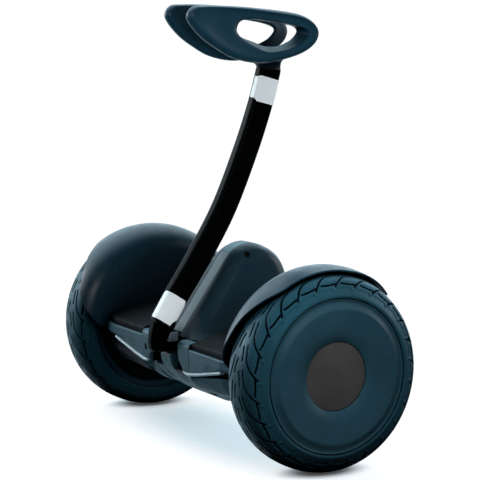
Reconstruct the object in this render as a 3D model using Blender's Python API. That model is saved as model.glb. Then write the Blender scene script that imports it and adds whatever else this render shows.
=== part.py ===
"""A self-balancing two-wheeled scooter with a knee-steered bar, modelled as separate pieces.

The origin lies on the floor under the middle of the scooter. +X runs along the wheel axis to the
scooter's left wheel as the rider sees it from behind, -Y is the travel direction, where the
steering bar stands, and +Z is up. Lengths below are millimetres and angles are degrees.
"""
import math

import bmesh
import bpy
from mathutils import Matrix, Vector

MM = 0.001
GAP = 0.35

# Wheels
AXLE_Z = 130.0
TYRE_RADIUS = 130.0
TYRE_WIDTH = 65.0
WHEEL_X = 239.5
FACE_X = 274.0
BEAD_RADIUS = 83.0
COVER_RADIUS = 102.0
PLATEAU_RADIUS = 88.5
CAP_RADIUS = 45.0
TYRE_SIDES = 32
ROUND_SIDES = 20
SHAFT_SIDES = 14

# Hub motors
AXLE_RADIUS = 8.5
AXLE_TIP_RADIUS = 6.0
STATOR_RADIUS = 68.6
STATOR_HALF_WIDTH = 14.0
MAGNET_RADIUS = 70.4
TEETH = 12
MAGNETS = 14

# Fenders
FENDER_RADIUS = 139.0
FENDER_WALL_X = 186.0
FENDER_CROWN_X = 232.0
FENDER_ARCH = 104.0
FENDER_POWER = 2.2
FENDER_SKIN = 2.3
FENDER_REAR = 42.0
FENDER_TAIL = 150.0
FENDER_FRONT = 178.5
SHOULDER_DROP = 3.2

# Deck
DECK_INNER_X = 66.6
DECK_OUTER_X = 185.4
STRIP_HEIGHT = 5.0
STRIP_OUTER_X = 151.0
SKIN = 2.4
HULL_SKIN = 3.4

# Steering
PIVOT_Z = 137.0
SHAFT_RADIUS = 7.0
HUB_RADIUS = 10.2
BAR_FOOT = (-106.0, 164.6)
BAR_HEAD = (58.5, 506.0)
BAR_HALF_DEPTH = 16.5
BAR_HALF_WIDTH = 13.0
BAR_WALL = 1.8

FINISHES = {
    "charcoal_plastic": ((0.020, 0.024, 0.028), 0.55, 0.0),
    "hull_alloy": ((0.020, 0.024, 0.028), 0.5, 0.0),
    "satin_grey": ((0.045, 0.058, 0.068), 0.38, 0.0),
    "mat_rubber": ((0.022, 0.026, 0.030), 0.8, 0.0),
    "tyre_rubber": ((0.016, 0.019, 0.022), 0.75, 0.0),
    "cover_plastic": ((0.022, 0.030, 0.034), 0.45, 0.0),
    "gloss_cap": ((0.040, 0.024, 0.020), 0.15, 0.0),
    "pad_foam": ((0.024, 0.032, 0.038), 0.65, 0.0),
    "bar_paint": ((0.008, 0.009, 0.010), 0.3, 0.0),
    "lens_white": ((0.75, 0.78, 0.78), 0.2, 0.0),
    "lens_red": ((0.35, 0.01, 0.01), 0.2, 0.0),
    "cast_alloy": ((0.35, 0.36, 0.37), 0.5, 1.0),
    "steel": ((0.45, 0.45, 0.46), 0.35, 1.0),
    "copper": ((0.60, 0.25, 0.12), 0.35, 1.0),
    "board_green": ((0.02, 0.10, 0.05), 0.5, 0.0),
    "cell_wrap": ((0.03, 0.07, 0.16), 0.5, 0.0),
    "soft_rubber": ((0.015, 0.016, 0.018), 0.85, 0.0),
}


def clear_scene():
    """Removes what is in the open scene."""
    for item in list(bpy.data.objects):
        bpy.data.objects.remove(item, do_unlink=True)


def finish(name):
    """Returns the material of a finish, made once."""
    found = bpy.data.materials.get(name)
    if found:
        return found
    colour, roughness, metallic = FINISHES[name]
    made = bpy.data.materials.new(name)
    made.use_nodes = True
    shader = made.node_tree.nodes["Principled BSDF"]
    shader.inputs["Base Color"].default_value = (*colour, 1.0)
    shader.inputs["Roughness"].default_value = roughness
    shader.inputs["Metallic"].default_value = metallic
    return made


def place(name, bm, finish_name, origin=(0.0, 0.0, 0.0)):
    """Makes an object from a bmesh in millimetres, with its origin at the point given."""
    bmesh.ops.recalc_face_normals(bm, faces=bm.faces)
    shift = Vector(origin)
    for vert in bm.verts:
        vert.co = (vert.co - shift) * MM
    mesh = bpy.data.meshes.new(name)
    bm.to_mesh(mesh)
    bm.free()
    mesh.shade_smooth()
    mesh.set_sharp_from_angle(angle=math.radians(35))
    mesh.materials.append(finish(finish_name))
    made = bpy.data.objects.new(name, mesh)
    made.location = shift * MM
    bpy.context.collection.objects.link(made)
    return made


def as_cutter(piece):
    """Hides a piece that only shapes another."""
    piece.hide_render = True
    piece.display_type = "WIRE"
    return piece


def combine(piece, other, operation):
    """Adds an exact Boolean of one piece by another, which becomes a cutter."""
    as_cutter(other)
    step = piece.modifiers.new(operation.lower(), "BOOLEAN")
    step.operation = operation
    step.solver = "EXACT"
    step.object = other
    return piece


def add_block(bm, low, high, turn=None):
    """Adds a block between two corners, turned about its middle where a matrix is given."""
    made = bmesh.ops.create_cube(bm, size=1.0)["verts"]
    low, high = Vector(low), Vector(high)
    middle = (low + high) / 2
    size = high - low
    for vert in made:
        vert.co = Vector(vert.co[i] * size[i] for i in range(3))
        vert.co = middle + (turn @ vert.co if turn else vert.co)
    return made


def block(name, low, high, finish_name, edge=0.0):
    """A block with its edges bevelled."""
    bm = bmesh.new()
    add_block(bm, low, high)
    if edge:
        bmesh.ops.bevel(bm, geom=bm.edges[:], offset=edge, segments=1, profile=0.5, affect="EDGES")
    return place(name, bm, finish_name)


def inscribed(radius, sides):
    """The corner radius of a many-sided bore whose flats lie at the radius given."""
    return radius / math.cos(math.pi / sides)


def add_turned(bm, profile, sides, centre=(0.0, 0.0), axis="X"):
    """Adds a profile of (along, radius) turned about an axis through a centre."""
    other = bmesh.new()
    verts = [other.verts.new((along, 0.0, radius)) for along, radius in profile]
    edges = [other.edges.new((verts[i], verts[(i + 1) % len(verts)])) for i in range(len(verts))]
    bmesh.ops.spin(
        other, geom=verts + edges, cent=(0, 0, 0), axis=(1, 0, 0), angle=math.tau, steps=sides, use_merge=True
    )
    bmesh.ops.remove_doubles(other, verts=other.verts, dist=0.001)
    turn = Matrix.Rotation(math.pi / sides, 4, "X")
    if axis == "Y":
        turn = Matrix.Rotation(math.pi / 2, 4, "Z") @ turn
        shift = Matrix.Translation((centre[0], 0.0, centre[1]))
    elif axis == "Z":
        turn = Matrix.Rotation(-math.pi / 2, 4, "Y") @ turn
        shift = Matrix.Translation((centre[0], centre[1], 0.0))
    else:
        shift = Matrix.Translation((0.0, centre[0], centre[1]))
    bmesh.ops.transform(other, matrix=shift @ turn, verts=other.verts)
    bmesh.ops.recalc_face_normals(other, faces=other.faces)
    mesh = bpy.data.meshes.new("turned")
    other.to_mesh(mesh)
    other.free()
    bm.from_mesh(mesh)
    bpy.data.meshes.remove(mesh)


def turned(name, profile, sides, finish_name, centre=(0.0, AXLE_Z), axis="X", origin=(0.0, 0.0, 0.0)):
    """A turned piece."""
    bm = bmesh.new()
    add_turned(bm, profile, sides, centre, axis)
    return place(name, bm, finish_name, origin)


def add_loft(bm, rings):
    """Skins closed rings of points, one after the other, and closes both ends."""
    loops = [[bm.verts.new(point) for point in ring] for ring in rings]
    count = len(loops[0])
    for first, second in zip(loops, loops[1:]):
        for i in range(count):
            j = (i + 1) % count
            bm.faces.new((first[i], first[j], second[j], second[i]))
    bm.faces.new(loops[0])
    bm.faces.new(loops[-1])


def loft(name, rings, finish_name, origin=(0.0, 0.0, 0.0)):
    """A lofted piece."""
    bm = bmesh.new()
    add_loft(bm, rings)
    return place(name, bm, finish_name, origin)


def add_hollow_loft(bm, outer, inner, closed_end):
    """Skins an outer and an inner row of rings into a wall, open at its first end.

    The last end is a lid where closed_end is true and an open rim otherwise.
    """
    rows = []
    for rings in (outer, inner):
        loops = [[bm.verts.new(point) for point in ring] for ring in rings]
        rows.append(loops)
        count = len(loops[0])
        for first, second in zip(loops, loops[1:]):
            for i in range(count):
                j = (i + 1) % count
                bm.faces.new((first[i], first[j], second[j], second[i]))
    rims = [(rows[0][0], rows[1][0])]
    if closed_end:
        bm.faces.new(rows[0][-1])
        bm.faces.new(rows[1][-1])
    else:
        rims.append((rows[0][-1], rows[1][-1]))
    for first, second in rims:
        for i in range(len(first)):
            j = (i + 1) % len(first)
            bm.faces.new((first[i], first[j], second[j], second[i]))


def offset_profile(points, distance):
    """Moves an open (y, z) outline sideways by a distance, to the left of its direction."""
    moved = []
    for i, (y, z) in enumerate(points):
        before = points[max(i - 1, 0)]
        after = points[min(i + 1, len(points) - 1)]
        direction = Vector((after[0] - before[0], after[1] - before[1])).normalized()
        moved.append((y - direction.y * distance, z + direction.x * distance))
    return moved


def mix(start, end, share):
    """The value a share of the way from start to end."""
    return start + (end - start) * share


def along_table(table, value):
    """Reads a table of (key, value) pairs at a key between its rows."""
    if value <= table[0][0]:
        return table[0][1]
    for (low, first), (high, second) in zip(table, table[1:]):
        if value <= high:
            return mix(first, second, (value - low) / (high - low))
    return table[-1][1]


def spline(points, steps):
    """Points along a smooth curve through the points given, a number of steps to each span."""
    ends = [points[0]] + list(points) + [points[-1]]
    out = []
    for i in range(1, len(ends) - 2):
        a, b, c, d = (Vector(p) for p in ends[i - 1:i + 3])
        for step in range(steps):
            t = step / steps
            out.append(
                0.5 * (2 * b + (c - a) * t + (2 * a - 5 * b + 4 * c - d) * t * t + (3 * b - a - 3 * c + d) * t ** 3)
            )
    out.append(Vector(points[-1]))
    return out


def superellipse(half_a, half_b, power, count):
    """Points round a rounded oblong, as (a, b) pairs."""
    out = []
    for i in range(count):
        angle = math.tau * (i + 0.5) / count
        c, s = math.cos(angle), math.sin(angle)
        out.append(
            (
                half_a * math.copysign(abs(c) ** (2 / power), c),
                half_b * math.copysign(abs(s) ** (2 / power), s),
            )
        )
    return out


# Wheels and hub motors


def tyre_profile():
    """The tyre's section round its middle plane, as (across, radius) pairs."""
    half = TYRE_WIDTH / 2
    side_radius = 109.0
    top = inscribed(TYRE_RADIUS, TYRE_SIDES)
    highest = math.sin(3 * math.pi / 7)
    crown = []
    for i in range(8):
        c, s = math.cos(math.pi * i / 7), math.sin(math.pi * i / 7) / highest
        across = -half * math.copysign(abs(c) ** 0.8, c)
        crown.append((across, side_radius + (top - side_radius) * max(s, 0.0) ** 0.62))
    foot = inscribed(BEAD_RADIUS + GAP, TYRE_SIDES)
    outer = [(-24.0, foot), (-24.8, 91.4), (-30.8, 101.0)] + crown + [(30.8, 101.0), (24.8, 91.4), (24.0, foot)]
    inner = [(18.5, foot), (22.5, 104.0), (13.0, 121.5), (-13.0, 121.5), (-22.5, 104.0), (-18.5, foot)]
    return outer + inner


def mirrored(profile, side):
    """Puts a profile measured from the middle of the scooter on its side."""
    return [(along * side, radius) for along, radius in profile]


def wheel(side, word):
    """One wheel: tyre, rotor, covers, magnets, bearings and valve, all on the wheel's spin axis."""
    axis_point = (side * WHEEL_X, 0.0, AXLE_Z)
    turned(
        f"tyre_{word}",
        [(side * (WHEEL_X + across), radius) for across, radius in tyre_profile()],
        TYRE_SIDES,
        "tyre_rubber",
        origin=axis_point,
    )
    seat = inscribed(14.0 + GAP, ROUND_SIDES)
    rim = [
        (267.2, seat), (267.2, 76.0), (267.6, 90.5), (265.2, 90.5), (264.4, BEAD_RADIUS),
        (214.6, BEAD_RADIUS), (213.8, 90.5), (211.4, 90.5), (211.4, 77.0), (259.0, 77.0),
        (259.0, 22.0), (257.6, 19.5), (257.6, seat),
    ]
    turned(f"rim_{word}", mirrored(rim, side), ROUND_SIDES, "hull_alloy", origin=axis_point)
    lip = FACE_X - 1.2
    cover = [
        (FACE_X, CAP_RADIUS), (FACE_X, PLATEAU_RADIUS), (lip, PLATEAU_RADIUS + 1.6), (lip - 1.2, COVER_RADIUS),
        (lip - 2.1, COVER_RADIUS - 1.2), (FACE_X - 2.4, PLATEAU_RADIUS - 2.0), (FACE_X - 2.4, CAP_RADIUS),
    ]
    turned(f"rim_cover_{word}", mirrored(cover, side), TYRE_SIDES, "cover_plastic", origin=axis_point)
    cap_face = FACE_X - 2.4 - GAP
    cap = [(cap_face - 2.4, 0.0), (cap_face - 2.4, CAP_RADIUS + 3.0), (cap_face, CAP_RADIUS + 3.0), (cap_face, 0.0)]
    turned(f"centre_cap_{word}", mirrored(cap, side), TYRE_SIDES, "gloss_cap", origin=axis_point)
    inner_seat = inscribed(17.5 + GAP, ROUND_SIDES)
    shield = [
        (211.6, inner_seat + 5.0), (211.6, 75.9), (214.6, 75.9), (214.6, inner_seat + 5.0),
        (219.0, inner_seat + 3.0), (219.0, inner_seat), (209.0, inner_seat), (209.0, inner_seat + 3.0),
    ]
    turned(f"motor_shield_{word}", mirrored(shield, side), ROUND_SIDES, "hull_alloy", origin=axis_point)
    bm = bmesh.new()
    planes = [side * (WHEEL_X - 13.0), side * (WHEEL_X + 13.0)]
    faces, backs = [], []
    for i in range(MAGNETS):
        for share, radius in ((-0.42, MAGNET_RADIUS), (0.42, MAGNET_RADIUS), (0.44, 74.0), (0.56, 74.0)):
            angle = math.tau * (i + share) / MAGNETS
            faces.append((radius * math.sin(angle), radius * math.cos(angle)))
            backs.append((75.9 * math.sin(angle), 75.9 * math.cos(angle)))
    rings = [[[(x, y, AXLE_Z + z) for y, z in ring] for x in planes] for ring in (backs, faces)]
    add_hollow_loft(bm, rings[0], rings[1], False)
    place(f"magnet_ring_{word}", bm, "steel", axis_point)
    bore = inscribed(AXLE_RADIUS + GAP, SHAFT_SIDES)
    ring = [(209.4, bore), (209.4, 17.5), (218.8, 17.5), (218.8, bore)]
    turned(f"inner_bearing_{word}", mirrored(ring, side), SHAFT_SIDES, "steel", origin=axis_point)
    bore = inscribed(AXLE_TIP_RADIUS + GAP, SHAFT_SIDES)
    ring = [(258.2, bore), (258.2, 14.0), (266.2, 14.0), (266.2, bore)]
    turned(f"outer_bearing_{word}", mirrored(ring, side), SHAFT_SIDES, "steel", origin=axis_point)


def axle(side, word):
    """The fixed axle: clamped inboard, carrying the stator, and turned down for the outer bearing."""
    steps = [
        (153.0, 0.0), (153.0, AXLE_RADIUS), (223.0, AXLE_RADIUS), (223.0, 10.5),
        (256.0, 10.5), (256.0, AXLE_TIP_RADIUS), (266.0, AXLE_TIP_RADIUS), (266.0, 0.0),
    ]
    turned(f"axle_{word}", mirrored(steps, side), SHAFT_SIDES, "steel")


def stator_outline():
    """The toothed outline of a stator core, as (y, z) pairs round the axle."""
    pitch = math.tau / TEETH
    tooth = [(-0.16, 50.0), (-0.11, 64.0), (-0.41, 65.6), (-0.41, STATOR_RADIUS), (0.41, STATOR_RADIUS),
             (0.41, 65.6), (0.11, 64.0), (0.16, 50.0)]
    out = []
    for i in range(TEETH):
        for share, radius in tooth:
            angle = pitch * (i + share)
            out.append((radius * math.sin(angle), radius * math.cos(angle)))
    return out


def stator(side, word):
    """The toothed stator core on the axle, and its winding: bars in the slots, joined at both ends."""
    planes = [side * (WHEEL_X - STATOR_HALF_WIDTH), side * (WHEEL_X + STATOR_HALF_WIDTH)]
    core = loft(f"stator_core_{word}", [[(x, y, AXLE_Z + z) for y, z in stator_outline()] for x in planes], "steel")
    hole = [(200.0, 0.0), (200.0, 11.2), (270.0, 11.2), (270.0, 0.0)]
    combine(core, turned(f"core_bore_{word}", mirrored(hole, side), ROUND_SIDES, "steel"), "DIFFERENCE")
    windows = bmesh.new()
    for i in range(6):
        turn = math.tau * i / 6
        window = [(200.0, 0.0), (200.0, 11.0), (270.0, 11.0), (270.0, 0.0)]
        centre = (29.5 * math.sin(turn), AXLE_Z + 29.5 * math.cos(turn))
        add_turned(windows, mirrored(window, side), 6, centre)
    combine(core, place(f"core_windows_{word}", windows, "steel"), "DIFFERENCE")
    start, end = STATOR_HALF_WIDTH + GAP, STATOR_HALF_WIDTH + 4.6
    bm = bmesh.new()
    for low, high in ((start, end), (-end, -start)):
        ring = [(WHEEL_X + low, 52.0), (WHEEL_X + low, 63.0), (WHEEL_X + high, 62.0), (WHEEL_X + high, 53.0)]
        add_turned(bm, mirrored(ring, side), ROUND_SIDES, (0.0, AXLE_Z))
    winding = place(f"stator_winding_{word}", bm, "copper")
    bars = bmesh.new()
    reach = (start + end) / 2
    for i in range(TEETH):
        turn = Matrix.Rotation(math.tau * (i + 0.5) / TEETH, 3, "X")
        centre = Vector((side * WHEEL_X, 0.0, 57.4))
        half = Vector((reach, 5.6, 3.4))
        for vert in add_block(bars, centre - half, centre + half):
            vert.co = turn @ vert.co + Vector((0.0, 0.0, AXLE_Z))
    combine(winding, place(f"slot_bars_{word}", bars, "copper"), "UNION")


# Fenders


def fender_lip(angle):
    """How far out the fender's lip stands at an angle round the axle, from the rear over the top."""
    return along_table(
        [(42, 234), (60, 248), (82, 257), (120, 257), (134, 243), (146, 226), (157, 215.5), (179, 200)], angle
    )


def fender_tip(angle):
    """The radius of the slanting end of the fender's tail at the front."""
    return along_table([(FENDER_TAIL, 139.0), (157.5, 137.6), (166.5, 130.0), (173, 120.0), (178.5, 107.0)], angle)


def fender_curve(inset, angle):
    """One skin of the fender at an angle, as (x, radius) pairs from the wall's foot to the lip."""
    width = FENDER_CROWN_X - FENDER_WALL_X - inset
    height = FENDER_RADIUS - FENDER_ARCH - inset
    lip = fender_lip(angle)
    share = max(0.0, (FENDER_CROWN_X - lip) / width)
    rise = min(1.0, (fender_tip(angle) - FENDER_ARCH) / (FENDER_RADIUS - FENDER_ARCH))
    last = min(math.acos(min(1.0, share ** (FENDER_POWER / 2))), math.asin(rise ** (FENDER_POWER / 2)))
    points = [(FENDER_WALL_X + inset, 32.0), (FENDER_WALL_X + inset, 70.0)]
    for i in range(7):
        a = last * i / 6
        x = FENDER_CROWN_X - width * math.cos(a) ** (2 / FENDER_POWER)
        points.append((x, FENDER_ARCH + height * math.sin(a) ** (2 / FENDER_POWER)))
    end_x, end_radius = points[-1]
    run = max(0.5, lip - end_x) if share == 0.0 else 0.5
    for part in (0.5, 1.0):
        points.append((end_x + run * part, end_radius - SHOULDER_DROP * (run * part / 25.0) ** 2))
    return points


def fender(side, word):
    """A fender: an arched shoulder over the tyre with a wall on its inboard side."""
    rings = []
    angles = [mix(FENDER_REAR, FENDER_TAIL, i / 12) for i in range(12)]
    angles += [mix(FENDER_TAIL, FENDER_FRONT, i / 6) for i in range(7)]
    for angle in angles:
        c, s = math.cos(math.radians(angle)), math.sin(math.radians(angle))
        section = fender_curve(0.0, angle) + fender_curve(FENDER_SKIN, angle)[::-1]
        rings.append([(side * x, radius * c, AXLE_Z + radius * s) for x, radius in section])
    loft(f"fender_{word}", rings, "charcoal_plastic")


# Deck, housings and bottom


def strip_height(x):
    """The height of the light strip's middle line above the floor."""
    return along_table([(50, 108.6), (54, 105.6), (60, 103.8), (66, 103.6), (STRIP_OUTER_X, 121.0)], x)


def deck_draw(x):
    """How far the deck's front and rear draw in towards its outer end."""
    return along_table([(158, 1.0), (172, 0.97), (186, 0.93)], x)


DECK_TOP = [(-95.4, 143.0), (-86.0, 146.3), (-70.0, 151.4), (-50.0, 154.8), (-25.0, 157.0), (0.0, 157.8)]


def both_ways(points):
    """Continues an outline that ends on Y = 0 with its mirror image."""
    return points + [(-y, z) for y, z in points[-2::-1]]


def deck_cover(side, word):
    """The moulded deck on one side: sloping top, upright front and rear faces."""
    rings = []
    for x in (DECK_INNER_X, 90.0, 120.0, STRIP_OUTER_X, 172.0, DECK_OUTER_X):
        foot = strip_height(x) + STRIP_HEIGHT / 2 + 1.0
        half = [(-100.4, foot), (-102.6, 128.0), (-103.0, 137.6), (-101.6, 139.2), (-96.2, 139.4)] + DECK_TOP
        outer = [(y * deck_draw(x), z) for y, z in both_ways(half)]
        inner = offset_profile(outer, -SKIN)
        rings.append([(side * x, y, z) for y, z in outer + inner[::-1]])
    loft(f"deck_cover_{word}", rings, "satin_grey")


def foot_mat(side, word):
    """The rubber mat, which wraps over the front and rear edges of the deck's top."""
    rings = []
    top = [(-98.3, 139.9), (-98.6, 145.0), (-96.5, 148.8), (-86.0, 152.4), (-70.0, 157.2), (-50.0, 160.6),
           (-25.0, 162.8), (0.0, 163.5)]
    under = [(-97.0, 139.9), (-96.4, 143.6), (-86.0, 147.0)] + [(y, z + 0.5) for y, z in DECK_TOP[2:]]
    for x in (69.0, 72.0, 100.0, 150.0, 172.0, 184.8):
        drop = 1.6 if x == 69.0 else 0.0
        outer = [(y * deck_draw(x), z - drop) for y, z in both_ways(top)]
        inner = [(y * deck_draw(x), z) for y, z in both_ways(under)]
        outer[0], outer[-1] = (outer[0][0], top[0][1]), (outer[-1][0], top[0][1])
        rings.append([(side * x, y, z) for y, z in outer + inner[::-1]])
    loft(f"foot_mat_{word}", rings, "mat_rubber")


def light_strip(name, side, front, finish_name, grow=0.0):
    """A lens that follows the lower edge of the deck, at the front or at the rear."""
    rings = []
    half = STRIP_HEIGHT / 2 + grow
    start, end = 50.0 - grow, STRIP_OUTER_X + grow
    for x in (start, 52.0, 55.0, 60.0, 66.0, 90.0, end):
        z = strip_height(x)
        near, far = -102.2 - grow, -94.5 + grow
        ring = [(near, z - half + 0.8), (near, z + half - 0.8), (near + 0.8, z + half), (far, z + half),
                (far, z - half), (near + 0.8, z - half)]
        rings.append([(side * x, y * front, h) for y, h in ring])
    return loft(name, rings, finish_name)


def hull_profile(x):
    """The underside's outline at a place along the axle, from the front edge to the rear edge."""
    share = along_table([(40, 0.0), (66, 0.25), (110, 0.7), (150, 1.0)], abs(x))
    edge = along_table([(66, 98.6), (STRIP_OUTER_X - 20.0, 112.6), (184, 115.5)], abs(x))
    middle = [(-98.6, edge), (-97.8, 95.0), (-88.0, 86.0), (-72.0, 77.5), (-55.0, 70.5), (-28.0, 57.5), (0.0, 51.5)]
    end = [(-98.0, edge), (-96.4, 103.0), (-86.0, 90.0), (-72.0, 83.0), (-55.0, 79.5), (-28.0, 77.0), (0.0, 76.0)]
    half = []
    for (y0, z0), (y1, z1) in zip(middle, end):
        half.append((mix(y0, y1, share), mix(z0, z1, share)))
    return half


def bottom_cover():
    """The cover under the chassis, from edge to edge, with a notch for each middle housing."""
    rings = []
    for x in (-184.0, -150.0, -110.0, -67.0, -40.0, 0.0, 40.0, 67.0, 110.0, 150.0, 184.0):
        outer = both_ways(hull_profile(x))
        outer = [(y * deck_draw(abs(x)), z) for y, z in outer]
        inner = offset_profile(outer, HULL_SKIN)
        rings.append([(x, y, z) for y, z in outer + inner[::-1]])
    cover = loft("bottom_cover", rings, "hull_alloy")
    for word, front in (("front", -1), ("rear", 1)):
        low = min(front * 54.6, front * 120.0)
        notch = block(
            f"notch_{word}", (-DECK_INNER_X, low, 40.0), (DECK_INNER_X, low + 65.4, 140.0), "satin_grey"
        )
        combine(cover, notch, "DIFFERENCE")


BODY_LINE = [(-87.0, 147.4), (-101.2, 146.4), (-103.0, 139.0), (-102.0, 122.0), (-99.4, 104.0), (-88.0, 87.5),
             (-72.0, 77.5), (-57.6, 71.8)]
KEEL_LINE = [(-94.0, 125.4), (-100.6, 125.0), (-101.4, 120.0), (-99.6, 111.0), (-95.0, 103.0), (-86.0, 92.5),
             (-71.0, 79.0), (-57.6, 71.8)]
RECESS_LINE = [(-82.0, 106.0), (-91.0, 106.0), (-95.4, 105.4), (-96.6, 102.6), (-93.6, 97.6), (-85.4, 88.6),
               (-71.0, 78.6), (-57.6, 72.4)]


def front_housing():
    """The middle front casting: two cheeks round the socket's opening, and a keel between them."""
    right = [
        (BODY_LINE, 66.0, 66.0), (BODY_LINE, 50.0, 50.0), (BODY_LINE, 37.0, 39.6), (RECESS_LINE, 35.2, 37.8),
        (RECESS_LINE, 24.0, 24.0), (RECESS_LINE, 14.4, 11.8), (KEEL_LINE, 12.6, 10.0), (KEEL_LINE, 6.0, 5.0),
    ]
    stations = [(line, -x, -inner) for line, x, inner in right] + right[::-1]
    rings = []
    for line, x_outer, x_inner in stations:
        outer = [(x_outer, y, z) for y, z in line]
        inner = [(x_inner, y, z) for y, z in offset_profile(line, SKIN)]
        rings.append(outer + inner[::-1])
    housing = loft("front_housing", rings, "satin_grey")
    for word, side in (("right", -1), ("left", 1)):
        groove = light_strip(f"front_groove_{word}", side, 1, "lens_white", grow=0.4)
        combine(housing, groove, "DIFFERENCE")
    return housing


BUTTON_X = 26.0
PORT_X = -26.0
REAR_CONTROL_Z = 114.0


def rear_housing():
    """The middle rear casting, with holes for the power button and the charge port."""
    rings = []
    for x in (-66.0, -40.0, 40.0, 66.0):
        inner = offset_profile(BODY_LINE, SKIN)
        rings.append([(x, -y, z) for y, z in BODY_LINE + inner[::-1]])
    housing = loft("rear_housing", rings, "satin_grey")
    for word, x, radius in (("button", BUTTON_X, 8.4), ("port", PORT_X, 8.4)):
        bore = turned(
            f"rear_bore_{word}", [(80.0, 0.0), (80.0, radius), (115.0, radius), (115.0, 0.0)], 20, "steel",
            centre=(x, REAR_CONTROL_Z), axis="Y",
        )
        combine(housing, bore, "DIFFERENCE")
    for word, side in (("right", -1), ("left", 1)):
        groove = light_strip(f"rear_groove_{word}", side, -1, "lens_red", grow=0.4)
        combine(housing, groove, "DIFFERENCE")


def rear_controls():
    """The power button, the charge socket and its rubber cap, on the rear housing."""
    turned(
        "power_button", [(97.0, 0.0), (97.0, 7.8), (103.0, 7.8), (104.2, 6.6), (104.2, 0.0)], 20,
        "soft_rubber", centre=(BUTTON_X, REAR_CONTROL_Z), axis="Y",
        origin=(BUTTON_X, 97.0, REAR_CONTROL_Z),
    )
    bm = bmesh.new()
    bore = 4.6
    add_turned(
        bm, [(84.0, 0.0), (84.0, 8.0), (101.4, 8.0), (101.4, bore), (90.0, bore), (90.0, 0.0)], 20,
        (PORT_X, REAR_CONTROL_Z), "Y",
    )
    place("charge_port", bm, "charcoal_plastic")
    hinge = (PORT_X, 104.2, REAR_CONTROL_Z + 12.4)
    bm = bmesh.new()
    add_turned(
        bm, [(103.0, 0.0), (103.0, 10.4), (104.6, 10.4), (105.4, 9.4), (105.4, 0.0)], 20,
        (PORT_X, REAR_CONTROL_Z), "Y",
    )
    cap = place("charge_port_cap", bm, "soft_rubber", hinge)
    bm = bmesh.new()
    add_block(bm, (PORT_X - 4.5, 103.3, REAR_CONTROL_Z + 7.0), (PORT_X + 4.5, 105.2, REAR_CONTROL_Z + 12.6))
    strap = place("cap_strap", bm, "soft_rubber")
    combine(cap, strap, "UNION")


# Centre console


CONSOLE_HALF_SLOT = 11.5
CONSOLE_WALL = 2.2
SEAM_Z = 257.0

CONSOLE_FRONT = [(148.2, -87.0), (156, -80.6), (180, -63.6), (209, -43.0), (235, -24.6), (250, -14.2), (258, -7.4),
                 (263, -0.6), (266, 6.6), (268, 14.0), (269, 20.0)]
CONSOLE_REAR = [(148.2, 89.0), (156, 88.4), (180, 85.6), (209, 79.8), (226, 76.0), (240, 70.6), (250, 63.6),
                (258, 54.6), (263, 46.0), (266, 38.6), (268, 31.0), (269, 25.0)]
CONSOLE_HALF = [(148.2, 63.0), (151, 57.5), (156, 52.0), (168, 45.5), (190, 40.0), (220, 36.0), (245, 33.0),
                (255, 31.0), (262, 27.5), (266, 22.5), (268, 17.0), (269, 12.5)]


def console_ring(z, inset):
    """The console's level outline at a height: an oblong with rounded corners."""
    front = along_table(CONSOLE_FRONT, z) + inset
    rear = along_table(CONSOLE_REAR, z) - inset
    half = along_table(CONSOLE_HALF, z) - inset
    corner = min(22.0 - inset, half - 0.4, (rear - front) / 2 - 0.2)
    ring = []
    for sx, sy, first in ((1, 1, 0.0), (-1, 1, 90.0), (-1, -1, 180.0), (1, -1, 270.0)):
        cx = sx * (half - corner)
        cy = (rear - corner) if sy > 0 else (front + corner)
        for i in range(4):
            angle = math.radians(first + 30.0 * i)
            ring.append((cx + corner * math.cos(angle), cy + corner * math.sin(angle)))
    return ring


def console_shell(name, finish_name):
    """The whole console as one wall, open at the bottom."""
    heights = [148.2, 151.0, 156.0, 168.0, 190.0, 220.0, 245.0, 255.0, 262.0, 266.0, 269.0]
    outer = [[(x, y, z) for x, y in console_ring(z, 0.0)] for z in heights]
    inner = []
    for i, z in enumerate(heights[:-1]):
        drop = CONSOLE_WALL * i / (len(heights) - 1)
        inner.append([(x, y, z - drop) for x, y in console_ring(z, CONSOLE_WALL)])
    bm = bmesh.new()
    add_hollow_loft(bm, outer, inner, True)
    return place(name, bm, finish_name)


def console():
    """The console's two sides, its narrow front panel and its top cover, split from one form."""
    tall = (130.0, 300.0)
    for word, side in (("right", -1), ("left", 1)):
        shell = console_shell(f"console_side_{word}", "charcoal_plastic")
        near, far = side * (CONSOLE_HALF_SLOT + GAP / 2), side * 90.0
        keep = block(
            f"keep_side_{word}", (min(near, far), -130.0, tall[0]), (max(near, far), 130.0, tall[1]), "steel"
        )
        combine(shell, keep, "INTERSECT")
        plug_hole = turned(
            f"plug_hole_{word}", mirrored([(20.0, 0.0), (20.0, 4.3), (50.0, 4.3), (50.0, 0.0)], side), 14, "steel",
            centre=(9.0, 256.4),
        )
        combine(shell, plug_hole, "DIFFERENCE")
    slot = CONSOLE_HALF_SLOT - GAP / 2
    seam_y = along_table(CONSOLE_FRONT, SEAM_Z)
    panel = console_shell("console_front_panel", "satin_grey")
    combine(panel, block("keep_panel", (-slot, -130.0, tall[0]), (slot, seam_y + 7.0, SEAM_Z), "steel"), "INTERSECT")
    cover = console_shell("console_top_cover", "satin_grey")
    combine(cover, block("keep_cover", (-slot, -130.0, tall[0]), (slot, 130.0, tall[1]), "steel"), "INTERSECT")
    combine(
        cover,
        block("drop_panel", (-slot - 1.0, -131.0, tall[0] - 1.0), (slot + 1.0, seam_y + 7.0 + GAP, SEAM_Z + GAP), "steel"),
        "DIFFERENCE",
    )


# Chassis and electronics


FRAME_HALF_X = 183.0
BATTERY_Y = 6.4
FRAME_TOP = 129.6


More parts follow.
